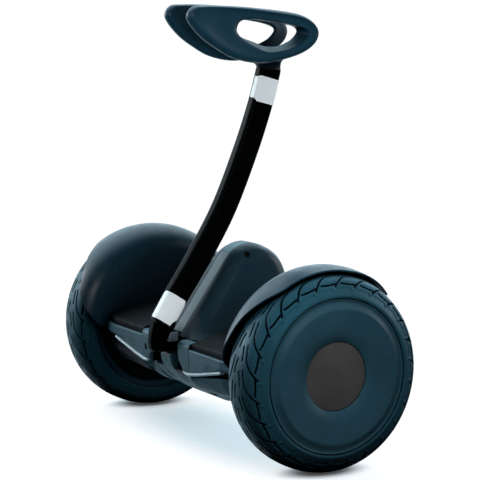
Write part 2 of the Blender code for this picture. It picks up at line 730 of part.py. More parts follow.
def chassis_frame():
    """The cast tub: a deep middle for the battery, shallow wings, and a cradle for each axle."""
    def outline(rise):
        low, wing = 80.2 + rise, 88.0 + rise * 0.2
        return [(-FRAME_HALF_X, wing), (-112.0, wing), (-104.0, low), (104.0, low), (112.0, wing),
                (FRAME_HALF_X, wing), (FRAME_HALF_X, FRAME_TOP), (-FRAME_HALF_X, FRAME_TOP)]
    rings = []
    for y, rise in ((-60.0, 12.0), (-50.0, 0.0), (50.0, 0.0), (60.0, 12.0)):
        rings.append([(x, y, z) for x, z in outline(rise)])
    frame = loft("chassis_frame", rings, "cast_alloy")
    bm = bmesh.new()
    add_block(bm, (-100.0, -43.5, 84.2), (100.0, 49.0, 140.0))
    cavity = place("frame_cavity", bm, "steel")
    combine(frame, cavity, "DIFFERENCE")
    combine(frame, block("frame_shelf", (-100.0, -57.0, 98.0), (100.0, 52.0, 141.0), "steel"), "DIFFERENCE")
    for word, side in (("right", -1), ("left", 1)):
        near, far = side * 104.0, side * 149.0
        combine(
            frame,
            block(f"wing_{word}", (min(near, far), -56.0, 98.0), (max(near, far), 50.0, 142.0), "steel"),
            "DIFFERENCE",
        )
        for end_word, front in (("front", -1), ("rear", 1)):
            a, b = side * 148.0, side * 190.0
            c, d, low = front * 24.0, front * 70.0, 98.0 + 3.0 * front
            combine(
                frame,
                block(
                    f"corner_{word}_{end_word}", (min(a, b), min(c, d), low), (max(a, b), max(c, d), 143.0), "steel"
                ),
                "DIFFERENCE",
            )
        cradle = turned(
            f"cradle_{word}", mirrored([(140.0, 0.0), (140.0, 9.2), (195.0, 9.2), (195.0, 0.0)], side), 20, "steel"
        )
        combine(frame, cradle, "DIFFERENCE")
        for end_word, front in (("front", -1), ("rear", 1)):
            hole = turned(
                f"clamp_hole_{word}_{end_word}", [(112.0, 0.0), (112.0, 2.8), (136.0, 2.8), (136.0, 0.0)], 8, "steel",
                centre=(side * 168.0, front * 15.6), axis="Z",
            )
            combine(frame, hole, "DIFFERENCE")


def axle_clamp(side, word):
    """The cap over the axle, with a counterbored hole for each bolt."""
    outline = [(-22.0, 130.2), (-22.0, 143.0), (-18.0, 146.4), (18.0, 146.4), (22.0, 143.0), (22.0, 130.2)]
    arch = [(9.3 * math.cos(math.pi * i / 8), AXLE_Z + 9.3 * math.sin(math.pi * i / 8)) for i in range(9)]
    arch[0], arch[-1] = (9.3, 130.2), (-9.3, 130.2)
    rings = [[(side * x, y, z) for y, z in outline + arch] for x in (154.0, 182.0)]
    clamp = loft(f"axle_clamp_{word}", rings, "cast_alloy")
    for end_word, front in (("front", -1), ("rear", 1)):
        profile = [(125.0, 0.0), (125.0, 3.2), (142.0, 3.2), (142.0, 5.0), (155.0, 5.0), (155.0, 0.0)]
        hole = turned(
            f"cap_hole_{word}_{end_word}", profile, 8, "steel", centre=(side * 168.0, front * 15.6), axis="Z"
        )
        combine(clamp, hole, "DIFFERENCE")


def electronics():
    """The battery and the control board in the tub, the motor driver and the foot sensors."""
    block("battery_pack", (-97.0, BATTERY_Y - 42.0, 84.6), (97.0, BATTERY_Y + 42.0, 114.6), "cell_wrap", edge=3.0)
    bm = bmesh.new()
    add_block(bm, (-92.0, -52.0, 118.0), (92.0, 34.0, 119.6))
    board = place("control_board", bm, "board_green")
    parts = bmesh.new()
    for x, y, half, rise in ((-70, 20, 9, 8), (-40, -25, 14, 4), (0, 22, 12, 3), (35, -20, 8, 9), (68, 18, 12, 5)):
        add_block(parts, (x - half, y - half, 118.8), (x + half, y + half, 119.6 + rise))
    combine(board, place("board_parts", parts, "board_green"), "UNION")
    sink = block("motor_driver", (-90.0, 41.6, 115.4), (90.0, 51.6, 133.0), "cast_alloy")
    fins = bmesh.new()
    for i in range(9):
        x = -80.0 + 20.0 * i
        add_block(fins, (x - 2.0, 36.0, 117.0), (x + 2.0, 42.6, 132.0))
    combine(sink, place("driver_fins", fins, "cast_alloy"), "UNION")
    for word, side in (("right", -1), ("left", 1)):
        x = side * 125.0
        sensor = block(f"foot_sensor_{word}", (x - 20.0, -52.0, 143.4), (x + 20.0, 52.0, 145.6), "soft_rubber")
        bm = bmesh.new()
        for front in (-1, 1):
            add_block(bm, (x - 17.0, front * 41.0 - 7.0, 144.6), (x + 17.0, front * 41.0 + 7.0, 150.6))
        combine(sensor, place(f"sensor_pads_{word}", bm, "soft_rubber"), "UNION")


# Steering


def pivot_group():
    """The housing on the frame's front wall, its bearings, the angle sensor and the spring."""
    housing = block("pivot_housing", (-22.0, -79.0, 112.0), (22.0, -60.4, 152.0), "cast_alloy", edge=2.0)
    bore = turned(
        "pivot_bore", [(-90.0, 0.0), (-90.0, 13.2), (-50.0, 13.2), (-50.0, 0.0)], ROUND_SIDES, "steel",
        centre=(0.0, PIVOT_Z), axis="Y",
    )
    combine(housing, bore, "DIFFERENCE")
    hole = inscribed(SHAFT_RADIUS + GAP, SHAFT_SIDES)
    spool = [
        (-78.7, hole), (-78.7, 12.6), (-74.2, 12.6), (-74.2, 8.8), (-65.2, 8.8), (-65.2, 12.6), (-61.0, 12.6),
        (-61.0, hole),
    ]
    turned("pivot_bush", spool, SHAFT_SIDES, "steel", centre=(0.0, PIVOT_Z), axis="Y")
    block("angle_sensor", (-8.0, -59.8, 130.4), (8.0, -55.0, 144.0), "board_green")
    wire, radius, turns, per_turn = 0.9, 10.4, 2.5, 10
    rings = []
    steps = int(turns * per_turn)
    for i in range(steps + 1):
        angle = math.tau * i / per_turn
        y = mix(-72.9, -66.5, i / steps)
        out = Vector((math.cos(angle), 0.0, math.sin(angle)))
        centre = Vector((0.0, y, PIVOT_Z)) + out * radius
        ring = []
        for k in range(5):
            around = math.tau * k / 5
            ring.append(centre + out * (wire * math.cos(around)) + Vector((0.0, wire * math.sin(around), 0.0)))
        rings.append(ring)
    loft("centring_spring", rings, "steel")


SOCKET_ORIGIN = (0.0, -80.0, PIVOT_Z)


def bar_section(y, z, lean, half_depth, half_width, count=14):
    """The bar's rounded section at a point of its middle line, square to a lean from the vertical."""
    ring = []
    for along, across in superellipse(half_depth, half_width, 2.6, count):
        ring.append((across, y + along * math.cos(lean), z - along * math.sin(lean)))
    return ring


def bar_line():
    """The middle line of the bar in the plane X = 0, from its foot to its head, as (y, z)."""
    through = [BAR_FOOT, (-97.0, 184.0), (-56.0, 244.0), (-12.8, 315.0), (22.8, 396.0), (46.5, 462.0), BAR_HEAD]
    return spline(through, 2)


def bar_lean(line, i):
    """The lean from the vertical of the middle line at one of its points."""
    before, after = line[max(i - 1, 0)], line[min(i + 1, len(line) - 1)]
    return math.atan2(after[0] - before[0], after[1] - before[1])


def steering_bar():
    """The curved hollow bar."""
    line = bar_line()
    outer, inner = [], []
    for i, (y, z) in enumerate(line):
        lean = bar_lean(line, i)
        if i == len(line) - 1:
            lean = 0.0
        outer.append(bar_section(y, z, lean, BAR_HALF_DEPTH, BAR_HALF_WIDTH))
        inner.append(bar_section(y, z, lean, BAR_HALF_DEPTH - BAR_WALL, BAR_HALF_WIDTH - BAR_WALL))
    bm = bmesh.new()
    add_hollow_loft(bm, outer, inner, False)
    foot = Vector((0.0, *BAR_FOOT))
    return place("steering_bar", bm, "bar_paint", foot)


def steering_socket():
    """The knuckle that leans with the bar: a hub behind, and a stub inside the bar's foot."""
    lean = bar_lean(bar_line(), 0)
    rings = []
    for y, z, turn, depth, width in (
        (-111.0, 127.4, 0.0, 10.5, 9.5), (-111.0, 130.5, 0.0, 14.0, 12.0), (-110.6, 140.0, 0.06, 16.2, 12.8),
        (-109.4, 151.0, 0.22, BAR_HALF_DEPTH, BAR_HALF_WIDTH),
    ):
        rings.append(bar_section(y, z, turn, depth, width))
    stub_depth, stub_width = BAR_HALF_DEPTH - BAR_WALL - 2.6, BAR_HALF_WIDTH - BAR_WALL - 1.4
    for reach, depth, width in (
        (-GAP, BAR_HALF_DEPTH, BAR_HALF_WIDTH), (-GAP, stub_depth, stub_width), (18.0, stub_depth, stub_width),
    ):
        y, z = BAR_FOOT[0] + reach * math.sin(lean), BAR_FOOT[1] + reach * math.cos(lean)
        rings.append(bar_section(y, z, lean, depth, width))
    socket = loft("steering_socket", rings, "bar_paint", SOCKET_ORIGIN)
    shaft = [(-112.0, 0.0), (-112.0, HUB_RADIUS), (-79.2, HUB_RADIUS), (-79.2, SHAFT_RADIUS), (-60.8, SHAFT_RADIUS),
             (-60.8, 0.0)]
    hub = turned("socket_hub", shaft, SHAFT_SIDES, "bar_paint", centre=(0.0, PIVOT_Z), axis="Y")
    combine(socket, hub, "UNION")
    ear = block("socket_ear", (6.0, -113.0, 138.0), (24.0, -104.0, 146.5), "bar_paint")
    combine(socket, ear, "UNION")


TAB_HINGE = (26.0, -108.5, 146.0)


def release_tab():
    """The small spring tab beside the bar's foot that frees the bar."""
    outline = [(24.5, 141.5), (24.5, 150.0), (27.5, 158.6), (38.0, 160.2), (40.0, 157.6), (38.6, 149.0), (28.0, 145.5)]
    rings = [[(x, y, z) for x, z in outline] for y in (-113.5, -103.6)]
    loft("release_tab", rings, "satin_grey", TAB_HINGE)


def bar_neck():
    """The neck on the bar's head, a hollow saddle that widens between the pads."""
    outer, inner = [], []
    sections = (
        (BAR_HEAD[1] + GAP, BAR_HALF_DEPTH, BAR_HALF_WIDTH, BAR_HEAD[0]), (512.0, 17.0, 13.4, 58.2),
        (517.0, 22.0, 17.5, 54.0), (521.5, 36.0, 24.0, 44.0), (526.0, 43.0, 26.4, 38.5), (533.0, 44.0, 26.4, 38.0),
    )
    for z, half_depth, half_width, y in sections:
        outer.append([(across, y + along, z) for along, across in superellipse(half_depth, half_width, 2.6, 16)])
        level = z if z < 510.0 else z - 1.0
        depth, width = half_depth - 3.0, half_width - 3.0
        inner.append([(across, y + along, level) for along, across in superellipse(depth, width, 2.6, 16)])
    inner[-1] = [(x, y, z - 2.0) for x, y, z in inner[-1]]
    bm = bmesh.new()
    add_hollow_loft(bm, outer, inner, True)
    place("bar_neck", bm, "charcoal_plastic", (0.0, BAR_HEAD[0], BAR_HEAD[1]))


PAD_EDGE = [(-86.5, 578.0), (-80.0, 592.5), (-62.0, 595.5), (-8.0, 593.7), (55.0, 587.5), (90.0, 580.0),
            (109.0, 565.0), (110.0, 549.0), (96.0, 534.5), (70.0, 524.0), (27.0, 516.5), (-14.0, 523.0),
            (-44.0, 538.0), (-68.0, 555.0)]
PAD_HOLE = [(-13.4, 563.0), (-7.0, 574.0), (12.0, 576.0), (39.0, 573.2), (68.0, 568.4), (88.0, 562.5),
            (94.5, 556.5), (89.0, 549.0), (78.0, 541.4), (56.0, 534.6), (32.0, 533.3), (12.0, 541.0),
            (1.0, 547.0), (-9.0, 554.0)]


def closed_spline(points, steps):
    """Points round a smooth closed curve through the points given."""
    count = len(points)
    out = []
    for i in range(count):
        a, b, c, d = (Vector(points[(i + k) % count]) for k in (-1, 0, 1, 2))
        for step in range(steps):
            t = step / steps
            out.append(
                0.5 * (2 * b + (c - a) * t + (2 * a - 5 * b + 4 * c - d) * t * t + (3 * b - a - 3 * c + d) * t ** 3)
            )
    return out


def knee_pad(side, word):
    """A knee pad: a soft rim round a dished face, with a hole to hold it by."""
    edge = closed_spline(PAD_EDGE, 3)
    hole = closed_spline(PAD_HOLE, 3)
    # Across the pad from its edge to its hole: share of the way, outer face and inner face.
    across = [(0.0, 0.0, 0.0), (0.05, 7.2, -7.2), (0.18, 10.6, -9.4), (0.45, 6.4, -8.6), (0.9, 4.2, -7.2)]
    bm = bmesh.new()
    loops = []
    for start, end in zip(edge, hole):
        width = (end - start).length
        ring = []
        for share, face, _ in across:
            point = start.lerp(end, limited(share, width))
            ring.append((face, point))
        ring.append((-1.7, end))
        for share, _, face in across[:0:-1]:
            point = start.lerp(end, limited(share, width))
            ring.append((face, point))
        loops.append([bm.verts.new(pad_point(side, face, point)) for face, point in ring])
    count = len(loops[0])
    for first, second in zip(loops, loops[1:] + loops[:1]):
        for k in range(count):
            bm.faces.new((first[k], first[(k + 1) % count], second[(k + 1) % count], second[k]))
    place(f"knee_pad_{word}", bm, "pad_foam", (side * 35.0, BAR_HEAD[0], BAR_HEAD[1]))


def limited(share, width):
    """Keeps the pad's rounded edge about as wide all round, where the pad is broad or narrow."""
    if share <= 0.05:
        return share * 60.0 / max(width, 30.0)
    if share <= 0.18:
        return min(0.3, share * 60.0 / max(width, 30.0))
    return share


def pad_point(side, face, point):
    """A point of a pad, whose two faces splay apart towards the rear."""
    middle = 35.0 + (point.x - 12.0) * 0.05
    return (side * (middle + face), point.x, point.y)


def build():
    """Builds every piece."""
    clear_scene()
    for word, side in (("right", -1), ("left", 1)):
        wheel(side, word)
        axle(side, word)
        fender(side, word)
        deck_cover(side, word)
        foot_mat(side, word)
        light_strip(f"light_strip_{word}", side, 1, "lens_white")
        light_strip(f"tail_light_{word}", side, -1, "lens_red")
        knee_pad(side, word)
        stator(side, word)
        axle_clamp(side, word)
    bottom_cover()
    front_housing()
    rear_housing()
    rear_controls()
    console()
    chassis_frame()
    electronics()
    pivot_group()
    steering_socket()
    release_tab()
    steering_bar()
    bar_neck()


build()
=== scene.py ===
"""Studio scene of a self-balancing two-wheeled scooter with a knee-steered bar.

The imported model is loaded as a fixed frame. Detailed pieces are built over it, each one riding on
the body that it moves with, and every surface gets a procedural material. Lengths in the builders
are millimetres in the model's own frame: +X along the wheel axis to the near wheel, -Y forwards,
+Z up.
"""
from __future__ import annotations

import logging
import math
from dataclasses import dataclass, field
from enum import Enum
from typing import Any, Sequence

import bmesh
import bpy
import numpy as np
from mathutils import Matrix, Vector

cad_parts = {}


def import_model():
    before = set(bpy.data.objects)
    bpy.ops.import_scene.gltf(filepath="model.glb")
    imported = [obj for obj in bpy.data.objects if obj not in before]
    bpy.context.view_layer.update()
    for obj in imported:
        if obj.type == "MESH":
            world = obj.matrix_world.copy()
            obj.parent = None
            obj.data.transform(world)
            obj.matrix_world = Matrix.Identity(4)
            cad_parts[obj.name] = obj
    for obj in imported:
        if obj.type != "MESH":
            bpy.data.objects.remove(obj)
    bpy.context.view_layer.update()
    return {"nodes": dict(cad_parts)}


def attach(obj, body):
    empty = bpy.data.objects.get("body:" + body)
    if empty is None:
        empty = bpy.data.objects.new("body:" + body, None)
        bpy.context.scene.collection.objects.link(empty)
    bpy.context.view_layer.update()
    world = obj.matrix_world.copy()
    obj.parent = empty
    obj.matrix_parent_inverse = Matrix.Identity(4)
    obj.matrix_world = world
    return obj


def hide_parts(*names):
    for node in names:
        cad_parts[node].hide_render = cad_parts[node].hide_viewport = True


LOG = logging.getLogger("scooter")
MM = 0.001
AXLE_Z = 130.0
WHEEL_X = 239.5

Colour = tuple[float, float, float, float]
Point = tuple[float, float, float]
Outline = Sequence[Sequence[float]]
Socket = bpy.types.NodeSocket


def colour(code: str) -> Colour:
    """Turns an sRGB hex code into a linear colour.

    Args:
        code: Six hex digits.

    Returns:
        The colour as linear red, green, blue and an alpha of one.
    """
    values = (int(code[i:i + 2], 16) / 255 for i in (0, 2, 4))
    linear = [v / 12.92 if v <= 0.04045 else ((v + 0.055) / 1.055) ** 2.4 for v in values]
    return (*linear, 1.0)


class Side(Enum):
    """The two ends of the wheel axis, by the sign of X."""

    RIGHT = -1
    LEFT = 1

    @property
    def word(self) -> str:
        """The side as the frame's nodes have it in their names."""
        return self.name.lower()


class Surface(Enum):
    """The kinds of relief that a finish can have."""

    MOULDED = "moulded"
    SKIN = "skin"
    RUBBER = "rubber"
    PAINT = "paint"
    METAL = "metal"
    SMOOTH = "smooth"


@dataclass(frozen=True)
class Finish:
    """What a surface is made of.

    Real moulding grain is about 0.1 mm and would be lost at this distance, so grain is drawn near
    1 mm, as coarse as it has to be to break up a highlight.

    Attributes:
        slot: The name of a material slot; not used.
        tint: Its sRGB hex colour.
        rough: Roughness from 0 to 1.
        surface: The kind of fine relief.
        metal: Metallic value from 0 to 1.
        coat: Weight of a clear coat.
        grain: Size of the relief in millimetres.
        depth: Strength of the relief.
        specular: Specular level.
        sheen: Colour of what it mirrors.
        glow: Strength of its own light.
        fade: Whether the colour falls off towards the right end of the machine, as painted shade.
        shade: How much painted shade darkens creases.
        reach: How wide a crease with painted shade is at most, in millimetres.
        hollow: How wide a hollow is that painted shade darkens as well, in millimetres, or 0.
    """

    slot: str
    tint: str
    rough: float
    surface: Surface = Surface.MOULDED
    metal: float = 0.0
    coat: float = 0.0
    grain: float = 1.0
    depth: float = 0.12
    specular: float = 0.5
    sheen: str = "ffffff"
    glow: float = 0.0
    fade: bool = False
    shade: float = 0.0
    reach: float = 14.0
    hollow: float = 0.0


class Look(Enum):
    """The machine's finishes, each named for its material."""

    # A finish with a shade gets painted shade in its creases and where other parts stand near.
    # Moulded ABS from a lightly etched tool: satin, with a wide soft highlight. Wide painted shade
    # darkens it where other parts stand near.
    SHELL_ABS = Finish(
        "charcoal_plastic", "1a313e", 0.4, depth=0.05, grain=0.9, specular=0.35, shade=0.9, reach=110.0
    )
    # Moulded ABS from a polished tool: the glossiest of the large shells. Wide painted shade darkens
    # it near the deck, the tyre and the bar.
    FENDER_ABS = Finish(
        "charcoal_plastic", "132f3d", 0.36, depth=0.03, grain=0.9, specular=0.5, shade=0.95,
        reach=160.0,
    )
    # Moulded ABS, nearly black, for the bar's neck; it also colours the sheets of painted shade in the
    # housing's grooves.
    NECK_ABS = Finish("charcoal_plastic", "0a171e", 0.42, depth=0.05, grain=0.9, specular=0.35)
    # Moulded ABS in a paler grey: it parts the console's front from its sides.
    PANEL_ABS = Finish("satin_grey", "54656f", 0.45, depth=0.05, grain=0.9, specular=0.3, shade=0.7)
    # Moulded acetal: a neutral grey that stands out beside the dark bar.
    LEVER_ACETAL = Finish(
        "satin_grey", "565c64", 0.42, depth=0.05, grain=0.9, specular=0.35, shade=0.9, reach=6.0
    )
    # Die-cast magnesium under a satin paint: grey, with little gloss.
    DECK_ALLOY = Finish(
        "satin_grey", "42636f", 0.45, depth=0.08, grain=0.8, specular=0.3, shade=0.85
    )
    # Black-painted casting in the machine's recesses: it hardly shines. It also colours the walls of
    # painted shade inside the housing's opening.
    HULL_PAINT = Finish("hull_alloy", "010202", 0.7, depth=0.08, grain=0.9, specular=0.05)
    # Painted casting of the bottom cover: dull, and black towards its far end, where the black is
    # painted shade.
    UNDER_PAINT = Finish(
        "hull_alloy", "35525f", 0.46, depth=0.08, grain=0.9, specular=0.12, fade=True
    )
    # Moulded rubber mat, matt black.
    MAT_RUBBER = Finish(
        "mat_rubber", "05090c", 0.6, Surface.RUBBER, depth=0.15, grain=1.2, specular=0.12
    )
    # Cured tyre rubber: its oily bloom mirrors blue. Painted shade keeps its grooves black and darkens
    # the sidewalls under the fender and the deck.
    TYRE_RUBBER = Finish(
        "tyre_rubber", "21434f", 0.42, Surface.RUBBER, depth=0.12, grain=1.1, specular=0.55,
        sheen="3f93b3", shade=1.0, reach=5.0, hollow=80.0,
    )
    # Moulded polypropylene of the rim cover: flat and even.
    RIM_POLYPROPYLENE = Finish(
        "cover_plastic", "264450", 0.45, depth=0.06, grain=1.0, specular=0.15, shade=0.6, reach=6.0
    )
    # Acrylic cap with a mirror finish: a warm grey beside the blue plastics.
    CAP_ACRYLIC = Finish("gloss_cap", "4a4746", 0.14, Surface.SMOOTH, coat=0.3, specular=0.3)
    # Self-skinned polyurethane foam: a pebbled skin with a soft sheen. Wide painted shade darkens each
    # pad where the other stands near.
    PAD_FOAM = Finish(
        "pad_foam", "234d60", 0.4, Surface.SKIN, depth=0.14, grain=0.8, specular=0.55, shade=1.0,
        reach=140.0,
    )
    # Powder coat on the aluminium bar: black, with a faint orange peel.
    BAR_POWDER_COAT = Finish(
        "bar_paint", "010202", 0.3, Surface.PAINT, depth=0.03, grain=2.5, specular=0.03
    )
    # Opal polycarbonate of the front lights, unlit.
    LENS_OPAL = Finish("lens_white", "c4d4dc", 0.25, Surface.SMOOTH, coat=0.3)
    # Red polycarbonate of the tail lights, unlit.
    LENS_RED = Finish("lens_red", "5a0a0a", 0.2, Surface.SMOOTH, coat=0.6)
    # Bare die-cast aluminium: grey and a little rough.
    CAST_ALUMINIUM = Finish("cast_alloy", "4b4e51", 0.5, Surface.METAL, metal=1.0, depth=0.1)
    # Turned and ground steel: brighter than the castings.
    GROUND_STEEL = Finish("steel", "a0a1a3", 0.35, Surface.METAL, metal=1.0, depth=0.05)
    # Enamelled copper wire.
    ENAMELLED_COPPER = Finish("copper", "b3652e", 0.35, Surface.METAL, metal=1.0, depth=0.05)
    # Solder mask on glass-fibre board.
    SOLDER_MASK = Finish("board_green", "123d26", 0.5)
    # Shrink wrap round the battery's cells.
    CELL_WRAP = Finish("cell_wrap", "1d3656", 0.5)
    # Soft moulded rubber of plugs and caps: black and matt.
    SOFT_RUBBER = Finish("soft_rubber", "050708", 0.7, Surface.RUBBER, specular=0.2)
    # Blank white film: it glows faintly with painted light, to stay bright against the dark bar.
    LABEL_FILM = Finish("bar_paint", "eaf3f6", 0.4, Surface.SMOOTH, coat=0.1, glow=0.3)


class Graph:
    """The node tree of a material or a world, with one way to add and join nodes."""

    def __init__(self, owner: bpy.types.Material | bpy.types.World) -> None:
        """Turns the owner's nodes on.

        Args:
            owner: The material or world whose tree this is.
        """
        owner.use_nodes = True
        self.tree = owner.node_tree

    @property
    def shader(self) -> bpy.types.Node:
        """The material's own shader."""
        return self.tree.nodes["Principled BSDF"]

    def node(
        self, kind: str, settings: dict[str, Any] | None = None,
        inputs: dict[str | int, Any] | None = None, stops: Sequence[tuple[float, Colour]] = (),
    ) -> bpy.types.Node:
        """Adds a node.

        Args:
            kind: The node's type name, without its ShaderNode prefix.
            settings: Properties to set on the node.
            inputs: Values, or sockets to link from, by the name or number of the node's input.
            stops: The positions and colours of its colour ramp.

        Returns:
            The new node.
        """
        made = self.tree.nodes.new("ShaderNode" + kind)
        for name, value in (settings or {}).items():
            setattr(made, name, value)
        for count, (position, tint) in enumerate(stops):
            ramp = made.color_ramp.elements
            stop = ramp[count] if count < len(ramp) else ramp.new(position)
            stop.position, stop.color = position, tint
        for name, value in (inputs or {}).items():
            self.feed(made.inputs[name], value)
        return made

    def feed(self, socket: Socket, value: Any) -> None:
        """Links a socket, or sets its value."""
        if isinstance(value, Socket):
            self.tree.links.new(value, socket)
        else:
            socket.default_value = value


@dataclass
class Paintbox:
    """Makes each finish's material once.

    Attributes:
        patch: Size of the patches in which a colour varies, in millimetres.
        patch_range: The colour's shares in the darkest and the lightest patches.
        patch_lift: What the lightest patches get on top, so that black varies too.
        faded: The colour that a finish falls off to as painted shade, as sRGB hex.
        fade_span: Between which places along X that painted shade falls, in millimetres.
        sky_span: The shares of open sky at which a crease is darkest and is none.
        rub: Size of the rubbed spots in which the gloss varies, in millimetres.
        rub_range: How much smoother and rougher those spots are.
        relief: Height of the fine relief, in millimetres.
        coat_rough: Roughness of a clear coat.
        made: The materials made so far, by finish.
    """

    patch: float = 111.1
    patch_range: tuple[float, float] = (0.82, 1.22)
    patch_lift: float = 0.001
    faded: str = "020304"
    fade_span: tuple[float, float] = (-85.0, -20.0)
    sky_span: tuple[float, float] = (0.35, 0.9)
    rub: float = 16.7
    rub_range: tuple[float, float] = (-0.06, 0.08)
    relief: float = 0.6
    coat_rough: float = 0.08
    made: dict[Look, bpy.types.Material] = field(default_factory=dict)

    def __getitem__(self, look: Look) -> bpy.types.Material:
        """The material of a finish."""
        if look not in self.made:
            self.made[look] = self.build(look)
        return self.made[look]

    def build(self, look: Look) -> bpy.types.Material:
        """Builds a finish: clouded colour, painted shade in creases, uneven gloss and a fine relief.

        Args:
            look: The finish.

        Returns:
            The new material.
        """
        finish = look.value
        material = bpy.data.materials.new("finish_" + look.name.lower())
        graph = Graph(material)
        shader = graph.shader
        place = graph.node("TexCoord").outputs["Object"]
        for socket, value in (
            ("Emission Color", colour(finish.tint)), ("Emission Strength", finish.glow),
            ("Metallic", finish.metal), ("Specular IOR Level", finish.specular),
            ("Specular Tint", colour(finish.sheen)), ("Coat Weight", finish.coat),
            ("Coat Roughness", self.coat_rough),
        ):
            graph.feed(shader.inputs[socket], value)
        tint = self.clouded(graph, finish, place)
        # Painted shade: creases and places near other parts are darkened, and lose their gloss too.
        if finish.shade:
            crease = self.crease(graph, finish)
            mixed = {"Fac": 1.0, "Color1": tint, "Color2": crease}
            tint = graph.node("MixRGB", {"blend_type": "MULTIPLY"}, mixed).outputs["Color"]
            gloss = graph.node("Math", {"operation": "MULTIPLY"}, {0: crease, 1: finish.specular})
            graph.feed(shader.inputs["Specular IOR Level"], gloss.outputs["Value"])
        graph.feed(shader.inputs["Base Color"], tint)
        rough = self.rubbed(graph, finish, place)
        graph.feed(shader.inputs["Roughness"], rough)
        height = self.height(graph, finish, place)
        if height is not None:
            drawn = {"Height": height, "Strength": finish.depth, "Distance": self.relief * MM}
            graph.feed(shader.inputs["Normal"], graph.node("Bump", {}, drawn).outputs["Normal"])
        return material

    def clouded(self, graph: Graph, finish: Finish, place: Socket) -> Socket:
        """A finish's colour, a little darker and lighter in patches, and darkened with painted shade
        where the finish fades.

        Args:
            graph: The material's graph.
            finish: What the surface is made of.
            place: The socket with the object's coordinates.

        Returns:
            The socket that gives the colour.
        """
        base = colour(finish.tint)[:3]
        low, high = self.patch_range
        dark = (*(v * low for v in base), 1.0)
        light = (*(min(1.0, v * high + self.patch_lift) for v in base), 1.0)
        cloud = {"Vector": place, "Scale": 1 / (self.patch * MM), "Detail": 4.0, "Roughness": 0.6}
        cloudy = graph.node("TexNoise", {}, cloud).outputs["Fac"]
        stops = ((0.3, dark), (0.7, light))
        tint = graph.node("ValToRGB", {}, {"Fac": cloudy}, stops).outputs["Color"]
        if not finish.fade:
            return tint
        # Painted shade: the colour falls off to near black towards the machine's right end.
        across = graph.node("SeparateXYZ", {}, {"Vector": place}).outputs["X"]
        start, end = self.fade_span
        span = {"Value": across, "From Min": start * MM, "From Max": end * MM}
        share = graph.node("MapRange", {}, span).outputs["Result"]
        mixed = {"Fac": share, "Color1": colour(self.faded), "Color2": tint}
        return graph.node("MixRGB", {}, mixed).outputs["Color"]

    def crease(self, graph: Graph, finish: Finish) -> Socket:
        """How much light a place gets: 1 in the open, down to 1 - shade in a crease.

        Args:
            graph: The material's graph.
            finish: What the surface is made of.

        Returns:
            The socket that gives the share.
        """
        near = graph.node("AmbientOcclusion", {}, {"Distance": finish.reach * MM}).outputs["AO"]
        if finish.hollow:
            wide = graph.node("AmbientOcclusion", {}, {"Distance": finish.hollow * MM}).outputs["AO"]
            near = graph.node("Math", {"operation": "MULTIPLY"}, {0: near, 1: wide}).outputs["Value"]
        low, high = self.sky_span
        span = {"Value": near, "From Min": low, "From Max": high, "To Min": 1.0 - finish.shade}
        return graph.node("MapRange", {}, span).outputs["Result"]

    def rubbed(self, graph: Graph, finish: Finish, place: Socket) -> Socket:
        """A finish's roughness, uneven from handling.

        Args:
            graph: The material's graph.
            finish: What the surface is made of.
            place: The socket with the object's coordinates.

        Returns:
            The socket that gives the roughness.
        """
        low, high = (min(1.0, max(0.02, finish.rough + change)) for change in self.rub_range)
        spots = {"Vector": place, "Scale": 1 / (self.rub * MM), "Detail": 5.0, "Roughness": 0.7}
        spotty = graph.node("TexNoise", {}, spots).outputs["Fac"]
        stops = ((0.35, (low, low, low, 1.0)), (0.7, (high, high, high, 1.0)))
        return graph.node("ValToRGB", {}, {"Fac": spotty}, stops).outputs["Color"]

    @staticmethod
    def height(graph: Graph, finish: Finish, place: Socket) -> Socket | None:
        """The height of a finish's fine relief.

        Args:
            graph: The material's graph.
            finish: What the surface is made of.
            place: The socket with the object's coordinates.

        Returns:
            The socket that gives the height, or None where the surface is smooth.
        """
        if finish.surface is Surface.SMOOTH:
            return None
        scale = 1 / (finish.grain * MM)
        if finish.surface in (Surface.MOULDED, Surface.SKIN):
            pebbles = {"Vector": place, "Scale": scale}
            cells = graph.node("TexVoronoi", {"feature": "SMOOTH_F1"}, pebbles).outputs["Distance"]
            if finish.surface is Surface.MOULDED:
                return cells
            fine = graph.node("TexNoise", {}, {"Vector": place, "Scale": scale * 0.6, "Detail": 3.0})
            both = {0: cells, 1: fine.outputs["Fac"]}
            return graph.node("Math", {"operation": "ADD"}, both).outputs["Value"]
        detail = 2.0 if finish.surface is Surface.PAINT else 5.0
        grains = {"Vector": place, "Scale": scale * 0.5, "Detail": detail}
        return graph.node("TexNoise", {}, grains).outputs["Fac"]


PAINTS = Paintbox()


def mix(start: float, end: float, share: float) -> float:
    """The value a share of the way from start to end."""
    return start + (end - start) * share


def along(table: Outline, value: float) -> float:
    """Reads a table between its rows, straight.

    Args:
        table: Pairs of a key and its value, with rising keys.
        value: The key to read at.

    Returns:
        The value there, held level past both ends.
    """
    if value <= table[0][0]:
        return table[0][1]
    for (low, first), (high, second) in zip(table, table[1:]):
        if value <= high:
            return mix(first, second, (value - low) / (high - low))
    return table[-1][1]


